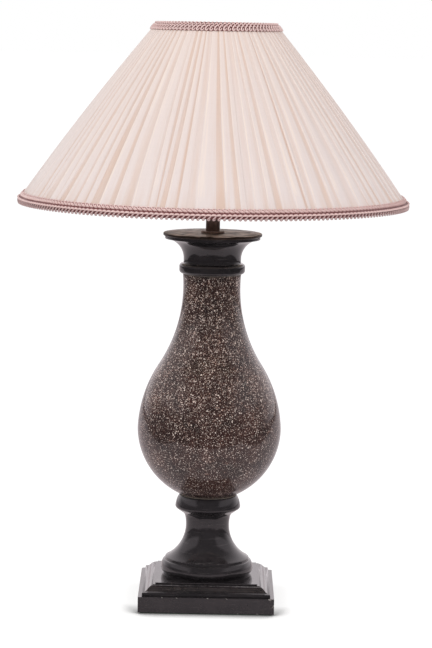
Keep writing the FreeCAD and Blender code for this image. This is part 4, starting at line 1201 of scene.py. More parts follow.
def cut_away(piece: bpy.types.Object, cutter: bpy.types.Object, **settings: object) -> None:
    """Cut one closed shape out of a piece and delete it.

    Args:
        piece: The object that is cut.
        cutter: The shape.
        settings: More settings of the Boolean modifier.
    """
    apply_modifier(piece, "BOOLEAN", operation="DIFFERENCE", object=cutter, solver="EXACT", **settings)
    bpy.data.objects.remove(cutter, do_unlink=True)


def chip_off(piece: bpy.types.Object, places: Sequence[Sequence[float]], inside: bpy.types.Material,
             seed: int) -> None:
    """Break small flakes out of a piece.

    Args:
        piece: The object that is chipped.
        places: Centre and half size of each flake, six numbers in millimetres.
        inside: Finish of the broken faces.
        seed: Start of the random draws that make each flake irregular.
    """
    draw = random.Random(seed)
    flakes = []
    for numbers in places:
        centre, size = Vector(numbers[:3]), Vector(numbers[3:])
        deselect()
        bpy.ops.mesh.primitive_ico_sphere_add(subdivisions=2, radius=1.0, location=centre * MM)
        flake = bpy.context.object
        flake.scale = size * MM
        flake.rotation_euler = Euler([draw.uniform(0, 0.9) for _ in range(3)])
        for vertex in flake.data.vertices:
            vertex.co *= draw.uniform(0.72, 1.12)
        flake.data.materials.append(inside)
        settle(flake)
        flakes.append(flake)
    deselect()
    for flake in flakes:
        flake.select_set(True)
    bpy.context.view_layer.objects.active = flakes[0]
    if len(flakes) > 1:
        bpy.ops.object.join()
    cut_away(piece, bpy.context.object, use_self=True, material_mode="TRANSFER")


def copy_round(unit: bpy.types.Object, count: int) -> None:
    """Repeat a piece evenly about the column's axis, all in one mesh.

    Args:
        unit: The piece, its place in its mesh.
        count: Number of copies, the first included.
    """
    deselect()
    bpy.ops.object.empty_add(rotation=(0, 0, 2 * math.pi / count))
    turner = bpy.context.object
    apply_modifier(unit, "ARRAY", count=count, use_relative_offset=False, use_object_offset=True,
                   offset_object=turner)
    bpy.data.objects.remove(turner, do_unlink=True)


def tie(piece: bpy.types.Object, body: Body, slot: str, *nodes: str) -> None:
    """Tie a piece to its body and hide the CAD nodes that it stands for.

    Args:
        piece: The object.
        body: The body that it rides on.
        slot: The record's material slot. Not used.
        nodes: The CAD nodes that it replaces.
    """
    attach(piece, body.value)
    if nodes:
        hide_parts(*nodes)
    LOG.info("%s rides on %s, %d faces", piece.name, body.value, len(piece.data.polygons))


# The lamp's own pieces


@dataclass
class Plinth:
    """Square stone block with an ogee moulding, chipped along its front edge, on its baize."""

    palette: Palette
    width: float = 161.0
    foot: float = 1.5
    block_top: float = 20.1
    ledge: float = 152.6
    plate_top: float = 33.5
    recess_radius: float = 26.0
    recess_top: float = 16.5
    rod_hole: float = 5.2
    cord_hole: float = 4.6
    cord_height: float = 9.5
    felt_width: float = 156.0
    felt_top: float = 1.2
    felt_thickness: float = 1.1
    felt_nap: float = 0.06
    chips: tuple[tuple[float, ...], ...] = (
        (-52.0, -80.4, 20.0, 2.2, 0.9, 0.7), (-35.0, -80.5, 20.0, 2.6, 0.7, 0.5),
        (2.0, -80.4, 19.9, 3.6, 0.9, 0.6), (24.0, -80.6, 20.0, 1.8, 0.7, 0.5),
        (76.0, -80.0, 19.6, 3.6, 1.6, 1.3), (80.2, -79.8, 12.0, 1.3, 1.3, 3.4),
        (79.9, -30.0, 19.9, 1.2, 3.2, 0.9), (80.2, 22.0, 19.9, 0.9, 2.4, 0.7),
        (-80.2, -44.0, 19.9, 1.0, 2.6, 0.8), (38.0, -80.6, 1.8, 6.5, 0.7, 0.7),
        (61.0, -80.7, 1.7, 4.0, 0.6, 0.6), (-20.0, 80.3, 19.9, 3.0, 1.0, 0.8),
        (-80.0, 79.9, 19.0, 1.6, 1.5, 2.2),
    )

    def build(self) -> None:
        """Make the block and the baize."""
        self._block()
        self._baize()

    def _block(self) -> None:
        """Shape the block upwards from its foot, ring by ring, then hollow and chip it."""
        deselect()
        height = self.block_top - self.foot
        bpy.ops.mesh.primitive_cube_add(size=1.0, location=(0, 0, (self.foot + height / 2) * MM))
        block = named("stone_plinth")
        block.scale = (self.width * MM, self.width * MM, height * MM)
        settle(block)
        outline = Profile((self.ledge / 2, self.block_top))
        outline.to((75.5, 20.2), (75.5, 21.0), (76.1, 21.2), (75.5, 24.2))
        outline.arc((69.5, 27.2), 10.0, swell=False, steps=6).arc((63.5, 31.5), 11.0, steps=8)
        outline.to((63.3, 32.0), (59.9, 32.0), (59.9, 32.5), (60.5, 32.6), (60.5, self.plate_top))
        self._raise(block, outline)
        self._hollow(block)
        soften(block, 0.65)
        chip_off(block, self.chips, self.palette.materials["chip"], seed=11)
        smooth(block)
        apply_modifier(block, "WEIGHTED_NORMAL", weight=80, keep_sharp=True)
        tie(block, Body.COLUMN, "black_stone", "plinth")

    def _raise(self, block: bpy.types.Object, outline: Profile) -> None:
        """Build the moulding up from the block's top face.

        Args:
            block: The block.
            outline: Half width and height of each ring.
        """
        self.palette.dress(block, "black_stone")
        with editing():
            bpy.ops.mesh.select_all(action="DESELECT")
        for face in block.data.polygons:
            face.select = face.normal.z > 0.5
        bpy.ops.object.mode_set(mode="EDIT")
        half, level = self.width / 2, self.block_top
        for across, up in outline.points:
            rise = (0, 0, (up - level) * MM)
            bpy.ops.mesh.extrude_region_move(TRANSFORM_OT_translate={"value": rise})
            share = across / half
            bpy.ops.transform.resize(value=(share, share, 1), center_override=(0, 0, up * MM))
            half, level = across, up
        bpy.ops.object.mode_set(mode="OBJECT")

    def _hollow(self, block: bpy.types.Object) -> None:
        """Bore the recess underneath, the rod's hole and the cord's hole.

        Args:
            block: The block.
        """
        bores = (
            (self.recess_radius, 30.0, (0, 0, self.recess_top - 15.0), 0.0),
            (self.rod_hole, 80.0, (0, 0, self.block_top - 0.1), 0.0),
            (self.cord_hole, 84.0, (0, 60.0, self.cord_height), math.pi / 2),
        )
        for radius, length, centre, lean in bores:
            deselect()
            bpy.ops.mesh.primitive_cylinder_add(vertices=72, radius=radius * MM, depth=length * MM,
                                                location=Vector(centre) * MM, rotation=(lean, 0, 0))
            bore = bpy.context.object
            settle(bore)
            cut_away(block, bore)

    def _baize(self) -> None:
        """Lay a soft-edged square of baize under the block."""
        deselect()
        width = self.felt_width * MM
        bpy.ops.mesh.primitive_grid_add(x_subdivisions=40, y_subdivisions=40, size=width, calc_uvs=True)
        baize = named("baize_pad")
        draw = random.Random(3)
        for vertex in baize.data.vertices:
            vertex.co.z = (self.felt_top + draw.uniform(-self.felt_nap, self.felt_nap)) * MM
        apply_modifier(baize, "SOLIDIFY", thickness=self.felt_thickness * MM, offset=-1.0)
        apply_modifier(baize, "BEVEL", width=0.4 * MM, segments=2, limit_method="ANGLE")
        store(baize, Attribute.FOLD, [draw.uniform(0.0, 0.5) for _ in baize.data.vertices])
        smooth(baize, 60.0)
        self.palette.finish(baize, Body.COLUMN, "baize", "base_felt")


@dataclass
class Column:
    """The turned pieces between the plinth and the stem."""

    palette: Palette
    bore: float = 5.2
    socle_foot: float = 33.5
    collar_foot: float = 108.8
    body_foot: float = 130.2
    neck_foot: float = 396.6
    pad: float = 0.6

    def build(self) -> None:
        """Make the socle, the collar, the neck, the body and the pads between them."""
        for name, profile, rounding, node in (("stone_socle", self._socle(), 0.35, "socle"),
                                              ("stone_collar", self._collar(), 0.5, "body_collar"),
                                              ("stone_neck", self._neck(), 0.4, "neck_mount")):
            piece = turn(name, profile)
            soften(piece, rounding, angle=27.0)
            self.palette.finish(piece, Body.COLUMN, "black_stone", node)
        self._speckled_body()
        self._pad("collar_pad", self.body_foot - self.pad, 33.8, "lower_gasket")
        self._pad("neck_pad", self.neck_foot - self.pad, 34.0, "neck_gasket")

    def _socle(self) -> Profile:
        """Torus that curves back under itself, fillet and one long hollow.

        Returns:
            The half section.
        """
        foot = self.socle_foot
        section = Profile((self.bore, foot)).to((51.9, foot), (52.3, foot + 1.6))
        section.arc((55.3, foot + 8.3), 8.7, steps=8).arc((53.77, foot + 14.66), 14.0, steps=6)
        section.arc((52.4, foot + 17.0), 6.0, steps=4).to((50.2, foot + 17.5), (50.2, foot + 20.3))
        section.arc((26.0, foot + 59.5), 43.85, swell=False, steps=28)
        section.arc((26.9, foot + 69.0), 48.0, swell=False, steps=5)
        section.arc((30.8, foot + 75.3), 11.0, swell=False, steps=8)
        return section.to((self.bore, foot + 75.3))

    def _collar(self) -> Profile:
        """Swelling ring that the body stands on.

        Returns:
            The half section.
        """
        foot = self.collar_foot
        section = Profile((self.bore, foot)).to((31.4, foot), (36.9, foot + 4.0))
        section.arc((39.1, foot + 7.0), 4.0, steps=6).arc((34.5, foot + 20.8), 30.0, steps=12)
        return section.to((self.bore, foot + 20.8))

    def _neck(self) -> Profile:
        """Half-round ring, upright neck and a hollow flare under the plate.

        Returns:
            The half section.
        """
        foot = self.neck_foot
        section = Profile((self.bore, foot)).to((34.2, foot), (34.2, foot + 0.4), (35.2, foot + 0.4))
        section.arc((39.2, foot + 4.4), 4.0, steps=8).to((39.2, foot + 9.0))
        section.arc((35.2, foot + 13.0), 4.0, steps=8).to((34.2, foot + 13.0), (34.2, foot + 17.9))
        section.arc((56.8, foot + 41.86), 24.0, swell=False, steps=20).to((56.8, foot + 45.4))
        return section.to((self.bore, foot + 45.4))

    def _speckled_body(self) -> None:
        """Turn the pear-shaped body with its wall."""
        foot = self.body_foot
        section = Profile((14.0, foot)).to((32.4, foot))
        section.arc((57.4, foot + 16.4), 93.2, steps=10).arc((86.0, foot + 80.3), 87.8, steps=30)
        section.arc((61.65, foot + 157.1), 152.9, steps=30)
        section.arc((34.2, foot + 244.8), 170.7, swell=False, steps=24)
        section.arc((34.75, foot + 265.8), 170.6, swell=False, steps=6)
        section.to((27.82, foot + 265.8), (27.5, foot + 253.8)).arc((54.6, foot + 151.5), 177.0, steps=16)
        section.arc((79.0, foot + 79.8), 122.0, swell=False, steps=14)
        section.arc((40.0, foot + 8.0), 86.4, swell=False, steps=12).to((14.0, foot + 8.0))
        body = turn("speckled_body", section, steps=192)
        soften(body, 0.3)
        self.palette.finish(body, Body.COLUMN, "speckled_body", "vase_body")

    def _pad(self, name: str, foot: float, radius: float, node: str) -> None:
        """Turn one pressed felt pad with a soft edge.

        Args:
            name: The piece's name.
            foot: Height of its underside, in millimetres.
            radius: Its outer radius.
            node: The CAD node that it replaces.
        """
        section = Profile((self.bore, foot)).to((radius - 0.3, foot))
        section.arc((radius - 0.3, foot + self.pad), 0.31, steps=5).to((self.bore, foot + self.pad))
        pad = turn(name, section, steps=96)
        smooth(pad, 60.0)
        self.palette.finish(pad, Body.COLUMN, "pad", node)


@dataclass
class Stem:
    """Bronzed plate, flange and tube over the neck."""

    palette: Palette
    bore: float = 5.2
    plate_foot: float = 442.0
    plate_radius: float = 58.9
    plate_thick: float = 3.5
    plate_edge: float = 1.2
    flange_radius: float = 14.25
    flange_thick: float = 2.4
    flange_bevel: float = 0.8
    tube_radius: float = 8.4
    tube_length: float = 26.1

    def build(self) -> None:
        """Make the three pieces."""
        self._plate()
        radius, bevel = self.flange_radius, self.flange_bevel
        foot = self.plate_foot + self.plate_thick
        top = foot + self.flange_thick
        flange = Profile((self.bore, foot)).to((radius, foot), (radius, top - bevel), (radius - bevel, top))
        self._tube("bronze_flange", flange.to((self.bore, top)), "stem_flange")
        foot, top, radius = top, top + self.tube_length, self.tube_radius
        tube = Profile((self.bore, foot)).to((radius, foot), (radius, top), (self.bore, top))
        self._tube("bronze_riser", tube, "riser_tube")

    def _plate(self) -> None:
        """Turn the plate and break the small notch out of its front edge."""
        foot, radius, edge = self.plate_foot, self.plate_radius, self.plate_edge
        top = foot + self.plate_thick
        section = Profile((self.bore, foot)).to((radius - edge, foot))
        section.arc((radius, foot + edge), edge, steps=4).to((radius, top - edge))
        section.arc((radius - edge, top), edge, steps=4).to((40.0, top - 0.05), (22.0, top))
        plate = turn("bronze_plate", section.to((self.bore, top)), steps=160)
        store_wear_and_crevice_shade(plate)
        smooth(plate)
        self.palette.dress(plate, "bronze")
        notch = (-3.5, -radius, top - 0.1, 3.4, 1.3, 0.8)
        chip_off(plate, [notch], self.palette.materials["bronze"], seed=5)
        smooth(plate)
        tie(plate, Body.COLUMN, "bronze", "cap_plate")

    def _tube(self, name: str, profile: Profile, node: str) -> None:
        """Turn one bronzed piece.

        Args:
            name: The piece's name.
            profile: Its half section.
            node: The CAD node that it replaces.
        """
        piece = turn(name, profile, steps=72)
        soften(piece, 0.3)
        # The flange and tube wear the lit copy of the bronze: painted light from under the shade.
        self.palette.finish(piece, Body.COLUMN, "lit_bronze_tube", node, slot="bronze")


@dataclass
class ContactSprings:
    """The two coils behind the bulb's contacts, which shorten as the contacts go down."""

    palette: Palette
    spacing: float = 6.0
    foot: float = 507.0
    height: float = 8.7
    radius: float = 1.65
    wire: float = 0.3
    turns: int = 5
    travel: float = 2.5

    def build(self) -> None:
        """Wind one coil and copy it to the other side, each with its own mesh."""
        right = self._coil()
        pick(right)
        bpy.ops.object.duplicate(linked=False)
        left = bpy.context.object
        for side, coil, across in (("right", right, self.spacing), ("left", left, -self.spacing)):
            coil.name = coil.data.name = f"contact_spring_{side}"
            coil.location.x = across * MM
            settle(coil)
            self.palette.finish(coil, Body.COLUMN, "steel", f"plunger_spring_{side}")
            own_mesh(coil)

    def _coil(self) -> bpy.types.Object:
        """Wind a wire round the column's axis and close its two ends.

        Returns:
            The coil.
        """
        deselect()
        start = Vector((self.radius, 0, self.foot + self.wire)) * MM
        bpy.ops.mesh.primitive_circle_add(vertices=8, radius=self.wire * MM, location=start,
                                          rotation=(math.pi / 2, 0, 0))
        coil = bpy.context.object
        settle(coil)
        pitch = (self.height - 2 * self.wire) / self.turns
        apply_modifier(coil, "SCREW", screw_offset=pitch * MM, iterations=self.turns, steps=20,
                       render_steps=20)
        with editing():
            bpy.ops.mesh.fill_holes(sides=0)
            close_seams()
        smooth(coil, 60.0)
        return coil


@dataclass
class Cone:
    """The shade's frame line, from the top ring to the bottom ring."""

    top_radius: float = 69.8
    bottom_radius: float = 226.8
    top_height: float = 689.5
    drop: float = 206.0
    crown: float = 2.8

    @property
    def slope(self) -> float:
        """Lean of the frame line from upright, in radians."""
        return math.atan2(self.bottom_radius - self.top_radius, self.drop)

    def at(self, share: float, offset: float) -> Point:
        """Radius and height of a point.

        Args:
            share: Way down from the top ring, from 0 to 1.
            offset: Distance out from the frame line, square to it, in millimetres.

        Returns:
            Radius and height, in millimetres.
        """
        radius = self.top_radius + (self.bottom_radius - self.top_radius) * share
        height = self.top_height - self.drop * share
        return radius + offset * math.cos(self.slope), height + offset * math.sin(self.slope)

    def swell(self, share: float) -> float:
        """How far the cover stands out of the straight line, so far down."""
        return 4 * self.crown * share * (1 - share)


@dataclass
class Pleats:
    """Hand-laid pleats: uneven folds that fan out from the top ring to the bottom ring."""

    count: int = 80
    seed: int = 21

    def __post_init__(self) -> None:
        """Draw each pleat's place at the top and the bottom, its overlap, its depth and its tone."""
        draw = random.Random(self.seed)
        self.bottom, self.top = [], []
        for number in range(self.count):
            lap = 2 * math.pi * number / self.count
            drift = 0.30 * math.sin(9 * lap + 1.0) + 0.20 * math.sin(14 * lap + 4.0)
            jitter = draw.uniform(-0.36, 0.36)
            self.bottom.append(number + drift + jitter)
            self.top.append(number + 0.25 * drift + 0.45 * jitter + draw.uniform(-0.22, 0.22))
        for edges in (self.bottom, self.top):
            for number in range(1, self.count):
                edges[number] = max(edges[number], edges[number - 1] + 0.26)
        self.overlaps = [(draw.uniform(0.22, 0.55), draw.uniform(0.12, 0.44)) for _ in range(self.count)]
        self.depths = [draw.uniform(0.55, 1.0) for _ in range(self.count)]
        self.tones = [draw.uniform(0.40, 1.0) for _ in range(self.count)]
        self.sway = [draw.uniform(-1, 1) for _ in range(self.count)]

    def edge(self, number: int, share: float) -> float:
        """Angle where a pleat starts at one level.

        Args:
            number: The pleat, which may be a lap further on.
            share: Way down the cone, from 0 to 1.

        Returns:
            The angle, in pleats.
        """
        lap, number = divmod(number, self.count)
        straight = self.top[number] + (self.bottom[number] - self.top[number]) * share
        return straight + lap * self.count + 0.09 * self.sway[number] * math.sin(math.pi * share)

    def columns(self, share: float) -> list[tuple[float, float, float]]:
        """Angle, height and fold value of every column at one level.

        Args:
            share: Way down the cone, from 0 to 1.

        Returns:
            Angle in radians, height from 0 to 1, and fold from 0 to 1, for each column.
        """
        found = []
        for number in range(self.count):
            start, end = self.edge(number, share), self.edge(number + 1, share)
            high, low = self.overlaps[number]
            band, tone = high + (low - high) * share, self.tones[number]
            # Fold value 0 paints a highlight on the crest; high values paint the cloth in two layers and the
            # shade of the valley.
            section = (
                (0.0, 0.12, 0.80 * tone), (0.5 * band, 0.0, tone), (band, 0.10, 0.92 * tone),
                (band + 0.04, 0.52, 0.50 * tone), (band + 0.08, 0.92, 0.10), (band + 0.11, 1.0, 0.0),
                (band + 0.17, 0.97, 0.16), (0.5 * band + 0.51, 0.80, 0.24), (0.86, 0.56, 0.26),
                (0.93, 0.38, 0.34), (0.975, 0.22, 0.55 * tone),
            )
            for along, height, fold in section:
                angle = (start + (end - start) * along) * 2 * math.pi / self.count
                found.append((angle, 1 - self.depths[number] * (1 - height), fold))
        return found


@dataclass
class Shade:
    """Pleated silk cover, plain lining and the braids at both edges.

    Each hem holds its radius, height and pleat depth, point by point. The depths hold shares of the way down
    the cone with the pleats' depth there. The flat sizes and areas of the sheets are in metres.
    """

    palette: Palette
    cone: Cone = field(default_factory=Cone)
    pleats: Pleats = field(default_factory=Pleats)
    outer: float = 2.85
    rows: int = 40
    top_hem: tuple[Point3, ...] = ((68.6, 691.4, 0.0), (70.0, 691.9, 0.2), (71.2, 691.4, 0.4))
    bottom_hem: tuple[Point3, ...] = ((228.6, 482.4, 0.5), (227.4, 481.6, 0.2), (224.4, 481.4, 0.0))
    depths: tuple[Point, ...] = (
        (0.0, 0.5), (0.06, 0.8), (0.3, 1.2), (0.6, 1.6), (0.9, 1.7), (0.955, 1.3), (1.0, 0.8),
    )
    cover_thickness: float = 0.4
    lining_thickness: float = 0.3
    cover_flat: Point = (0.285, 1.45)
    cover_area: float = 0.30
    lining_flat: Point = (0.265, 1.43)
    lining_area: float = 0.25

    def build(self) -> None:
        """Make the cover, the lining and the braids."""
        self._cover()
        self._lining()
        Trims(self.palette, self.cone).build()

    def _depth(self, share: float) -> float:
        """Depth of the pleats so far down the cone. They are pressed flat under the braids.

        Args:
            share: Way down the cone, from 0 to 1.

        Returns:
            The depth, in millimetres.
        """
        for (low, first), (high, second) in zip(self.depths, self.depths[1:]):
            if share <= high:
                return first + (second - first) * (share - low) / (high - low)
        return self.depths[-1][1]

    def _levels(self) -> list[tuple[Point, float, float]]:
        """Crest line of the cover from its top hem, over the cone, to its bottom hem.

        Returns:
            Radius and height of the crest, share down the cone, and pleat depth, for each row.
        """
        levels = [((radius, height), 0.0, depth) for radius, height, depth in self.top_hem]
        for row in range(self.rows + 1):
            share = row / self.rows
            crest = self.cone.at(share, self.outer + self.cone.swell(share))
            levels.append((crest, share, self._depth(share)))
        levels += [((radius, height), 1.0, depth) for radius, height, depth in self.bottom_hem]
        return levels

    def _wrap(self, name: str, columns: int, rows: int,
              place: Callable[[int, int], tuple[Vector, float]]) -> bpy.types.Object:
        """Wrap a grid round the shade.

        Args:
            name: The piece's name.
            columns: Number of faces round it.
            rows: Number of faces down it.
            place: Where the point of a column and a row goes, in millimetres, and its fold value.

        Returns:
            The sheet, with its seam closed.
        """
        deselect()
        bpy.ops.mesh.primitive_grid_add(x_subdivisions=columns, y_subdivisions=rows, size=1.0,
                                        calc_uvs=True)
        sheet = named(name)
        values = []
        for vertex in sheet.data.vertices:
            column = round((vertex.co.x + 0.5) * columns)
            row = rows - round((vertex.co.y + 0.5) * rows)
            point, fold = place(column, row)
            vertex.co = point * MM
            values.append(fold)
        store(sheet, Attribute.FOLD, values)
        with editing():
            close_seams(1e-7)
        return sheet

    def _hold(self, sheet: bpy.types.Object, finish: str, node: str) -> None:
        """Dress one sheet and tie it to the shade.

        Args:
            sheet: The sheet.
            finish: Name of its finish.
            node: The CAD node that it replaces.
        """
        self.palette.finish(sheet, Body.SHADE, finish, node)

    def _cover(self) -> None:
        """Lay the pleats over the frame."""
        levels = self._levels()
        tables = [self.pleats.columns(share) for _, share, _ in levels]
        width = len(tables[0])
        draw = random.Random(4)
        puckers = [draw.uniform(0.0, 1.0) for _ in range(width)]

        def place(column: int, row: int) -> tuple[Vector, float]:
            """Place one point of the cover.

            Args:
                column: Its column.
                row: Its row.

            Returns:
                The point, in millimetres, and its fold value.
            """
            (radius, height), share, depth = levels[row]
            column %= width
            angle, rise, fold = tables[row][column]
            pucker = puckers[column] * max(0.0, share - 0.86) / 0.14
            drop = depth * (1 - rise) + 0.5 * pucker * min(1.0, depth)
            reach = radius - drop * math.cos(self.cone.slope)
            point = Vector((reach * math.cos(angle), reach * math.sin(angle),
                            height - drop * math.sin(self.cone.slope)))
            # The puckers near the foot are also painted darker, as the shade in them.
            return point, min(1.0, fold + 0.45 * pucker)

        cover = self._wrap("pleated_cover", width, len(levels) - 1, place)
        apply_modifier(cover, "SOLIDIFY", thickness=self.cover_thickness * MM, offset=-1.0)
        smooth(cover, 50.0)
        self._hold(cover, "silk", "shade_cover")

    def _lining(self) -> None:
        """Stretch the lining inside the frame, with small gathers at its top, painted darker as shade."""
        draw = random.Random(9)
        columns, rows = 288, 16
        gathers = [draw.uniform(0.2, 1.0) for _ in range(columns // 4)]

        def place(column: int, row: int) -> tuple[Vector, float]:
            """Place one point of the lining.

            Args:
                column: Its column.
                row: Its row.

            Returns:
                The point, in millimetres, and its fold value.
            """
            share = 0.03 + 0.975 * row / rows
            column %= columns
            gather = gathers[column // 4] * (0.5 - 0.5 * math.cos(math.pi * column / 2))
            radius, height = self.cone.at(share, -1.95 - 0.5 * gather * (1 - 0.7 * share))
            angle = 2 * math.pi * column / columns
            # The gathers' fold value darkens them as painted shade.
            return Vector((radius * math.cos(angle), radius * math.sin(angle), height)), 0.4 * gather

        lining = self._wrap("silk_lining", columns, rows, place)
        apply_modifier(lining, "SOLIDIFY", thickness=self.lining_thickness * MM, offset=0.0)
        smooth(lining, 60.0)
        self._hold(lining, "lining", "shade_lining")


@dataclass(frozen=True)
class YarnUnit:
    """One repeat of a braid: the path of its yarn, drawn flat.

    Each point holds its place along the edge, up the cloth and out of the cloth, and the yarn's radius
    there, all in millimetres.
    """

    points: tuple[tuple[float, float, float, float], ...]
    sides: int = 5

    def draw(self, name: str) -> bpy.types.Object:
        """Extrude the yarn's section along the path.

        Args:
            name: The piece's name.

        Returns:
            The yarn, lying in its drawing plane.
        """
        path = [Vector(point[:3]) * MM for point in self.points]
        steps = [after - before for before, after in zip(path, path[1:])]
        headings = [math.atan2(step.y, step.x) for step in steps]
        deselect()
        bpy.ops.mesh.primitive_circle_add(vertices=self.sides, radius=self.points[0][3] * MM,
                                          fill_type="NGON")
        yarn = named(name)
        aims = headings[:1]
        with editing():
            rotate_mesh(math.pi / 2, "Y", Vector())
            rotate_mesh(headings[0], "Z", Vector())
            bpy.ops.transform.translate(value=path[0])
            for number, step in enumerate(steps, 1):
                bpy.ops.mesh.extrude_region_move(TRANSFORM_OT_translate={"value": step})
                before, after = headings[number - 1], headings[min(number, len(headings) - 1)]
                aim = before + shortest_turn(after - before) / 2
                rotate_mesh(shortest_turn(aim - aims[-1]), "Z", path[number])
                share = self.points[number][3] / self.points[number - 1][3]
                bpy.ops.transform.resize(value=(share, share, share), center_override=path[number])
                aims.append(aim)
            bpy.ops.mesh.select_all(action="SELECT")
            bpy.ops.mesh.normals_make_consistent(inside=False)
        self._unroll(yarn, path, aims)
        return yarn

    def _unroll(self, yarn: bpy.types.Object, path: Sequence[Vector], aims: Sequence[float]) -> None:
        """Give the yarn a UV map: along it, and round it.

        Args:
            yarn: The yarn.
            path: Centre of each of its sections.
            aims: Heading of each section.
        """
        layer = yarn.data.uv_layers.new(name="yarn")
        places = []
        for vertex in yarn.data.vertices:
            ring = vertex.index // self.sides
            away = vertex.co - path[ring]
            side = away.y * math.cos(aims[ring]) - away.x * math.sin(aims[ring])
            places.append((ring / (len(path) - 1), math.atan2(away.z, side) / (2 * math.pi) % 1.0))
        for polygon in yarn.data.polygons:
            turns = [places[index][1] for index in polygon.vertices]
            wraps = max(turns) - min(turns) > 0.5
            for loop, index in zip(polygon.loop_indices, polygon.vertices):
                along, turned = places[index]
                layer.data[loop].uv = (along, turned + 1.0 if wraps and turned < 0.5 else turned)


@dataclass
class Trims:
    """Looped gimp braid: one row round the top, two rows back to back round the bottom."""

    palette: Palette
    cone: Cone
    top_count: int = 92
    bottom_count: int = 249
    crest: float = 2.9
    cord_place: Point = (231.0, 485.1)
    loop_place: Point = (231.2, 482.2)
    core_low: Point = (230.0, 480.9)
    core_high: Point = (230.0, 485.2)
    curl: YarnUnit = YarnUnit((
        (2.7, 1.9, 0.0, 0.60), (1.9, 3.3, 0.25, 0.95), (0.5, 3.2, 0.40, 1.05), (-0.8, 1.6, 0.50, 1.05),
        (-1.9, -0.5, 0.50, 1.05), (-2.3, -2.4, 0.40, 1.05), (-1.2, -3.3, 0.30, 1.00), (0.2, -2.5, 0.15, 0.90),
        (0.9, -0.9, 0.05, 0.80), (0.9, 0.5, -0.10, 0.50),
    ))
    picot: YarnUnit = YarnUnit((
        (-2.6, -1.2, 0.0, 0.55), (-1.7, 0.1, 0.30, 0.92), (-0.5, 0.9, 0.35, 1.00), (0.9, 0.8, 0.30, 0.95),
        (1.6, -0.3, 0.15, 0.85), (1.3, -1.4, 0.0, 0.50),
    ))
    crook: YarnUnit = YarnUnit((
        (3.3, -2.7, 0.05, 0.55), (2.2, -2.1, 0.35, 0.88), (0.9, -1.3, 0.55, 0.98), (-0.5, -0.3, 0.55, 0.96),
        (-1.6, 0.9, 0.40, 0.86), (-1.3, 2.0, 0.30, 0.80), (-0.1, 2.3, 0.20, 0.78), (0.8, 1.6, 0.05, 0.60),
    ))
    strand: YarnUnit = YarnUnit((
        (5.2, -2.5, 0.0, 0.50), (4.0, -1.7, 0.30, 0.92), (2.7, -0.8, 0.38, 0.98), (1.4, 0.3, 0.30, 0.90),
        (0.6, 1.2, 0.05, 0.55),
    ))
    wave: YarnUnit = YarnUnit((
        (-3.3, -0.50, -0.30, 0.70), (-1.9, 0.10, 0.20, 1.20), (-0.2, 0.45, 0.30, 1.35),
        (1.5, 0.15, 0.20, 1.20), (3.1, -0.55, -0.25, 0.70),
    ))
    hook: YarnUnit = YarnUnit((
        (2.5, 2.2, -0.20, 0.60), (1.6, 1.2, 0.10, 1.00), (0.3, -0.1, 0.20, 1.05), (-1.1, -1.3, 0.15, 0.95),
        (-1.2, -2.3, 0.05, 0.84), (0.0, -2.7, 0.00, 0.80), (1.1, -2.0, 0.0, 0.76), (1.4, -0.8, -0.1, 0.50),
    ))

    @property
    def length(self) -> float:
        """Length of the frame line between the two rings, in millimetres."""
        return self.cone.drop / math.cos(self.cone.slope)

    def build(self) -> None:
        """Make the braids of both edges."""
        lean, top, bottom = self.cone.slope, self.top_count, self.bottom_count
        upper = self._up(self.length - 4.4, 0.75)
        self._row("top_braid_curls", self.curl, upper, lean, top, "braid", "top_trim")
        self._row("top_braid_picots", self.picot, self._up(self.length + 1.2, 0.75), lean, top, "braid_pale")
        low, high = self._up(self.length - 8.0, 0.0), self._up(self.length + 2.4, 0.0)
        # The core bands are dark core yarn and painted shade between the loops.
        self._band("top_braid_core", low, high, 0.55, "braid_core_and_shade")
        lower = self._up(5.3, 0.70)
        self._row("bottom_braid_crooks", self.crook, lower, lean, bottom, "braid_pale", "bottom_braid")
        self._row("bottom_braid_strands", self.strand, self._up(5.1, 0.65), lean, bottom, "braid_pale")
        self._band("bottom_braid_ground", self._up(2.6, -0.2), self._up(7.2, -0.2), 0.5, "braid_ground")
        self._band("bottom_braid_line", self._up(-0.6, 0.0), self._up(2.8, 0.0), 0.9, "braid_core_and_shade")
        self._row("bottom_cord", self.wave, self.cord_place, 0.0, bottom, "braid_pale")
        # The hanging loops wear the shaded copy of the gimp: painted shade under the cord.
        self._row("bottom_hanging_loops", self.hook, self.loop_place, 0.0, bottom, "braid_in_shade",
                  "bottom_loop_trim")
        self._band("bottom_loop_core", self.core_low, self.core_high, 0.5, "braid_core_and_shade")

    def _up(self, rise: float, out: float) -> Point:
        """Radius and height of a point on the cover.

        Args:
            rise: Length up the cloth from the bottom ring, in millimetres.
            out: Distance out from the cover's crests.

        Returns:
            Radius and height, in millimetres.
        """
        share = 1 - rise / self.length
        return self.cone.at(share, self.crest + self.cone.swell(min(1.0, max(0.0, share))) + out)

    def _row(self, name: str, unit: YarnUnit, centre: Point, lean: float, count: int, finish: str,
             *nodes: str) -> None:
        """Draw one unit, lay it on one side of the shade and repeat it all round.

        Args:
            name: The piece's name.
            unit: The unit.
            centre: Radius and height of its middle, in millimetres.
            lean: How far it leans back with the cloth, in radians.
            count: Number of units.
            finish: Its finish.
            nodes: The CAD nodes that it replaces.
        """
        row = unit.draw(name)
        cosine, sine = math.cos(lean), math.sin(lean)
        row.data.transform(Matrix((
            (0, -sine, cosine, centre[0] * MM),
            (1, 0, 0, 0),
            (0, cosine, sine, centre[1] * MM),
            (0, 0, 0, 1),
        )))
        copy_round(row, count)
        smooth(row, 80.0)
        self.palette.finish(row, Body.SHADE, finish, *nodes, slot="braid")

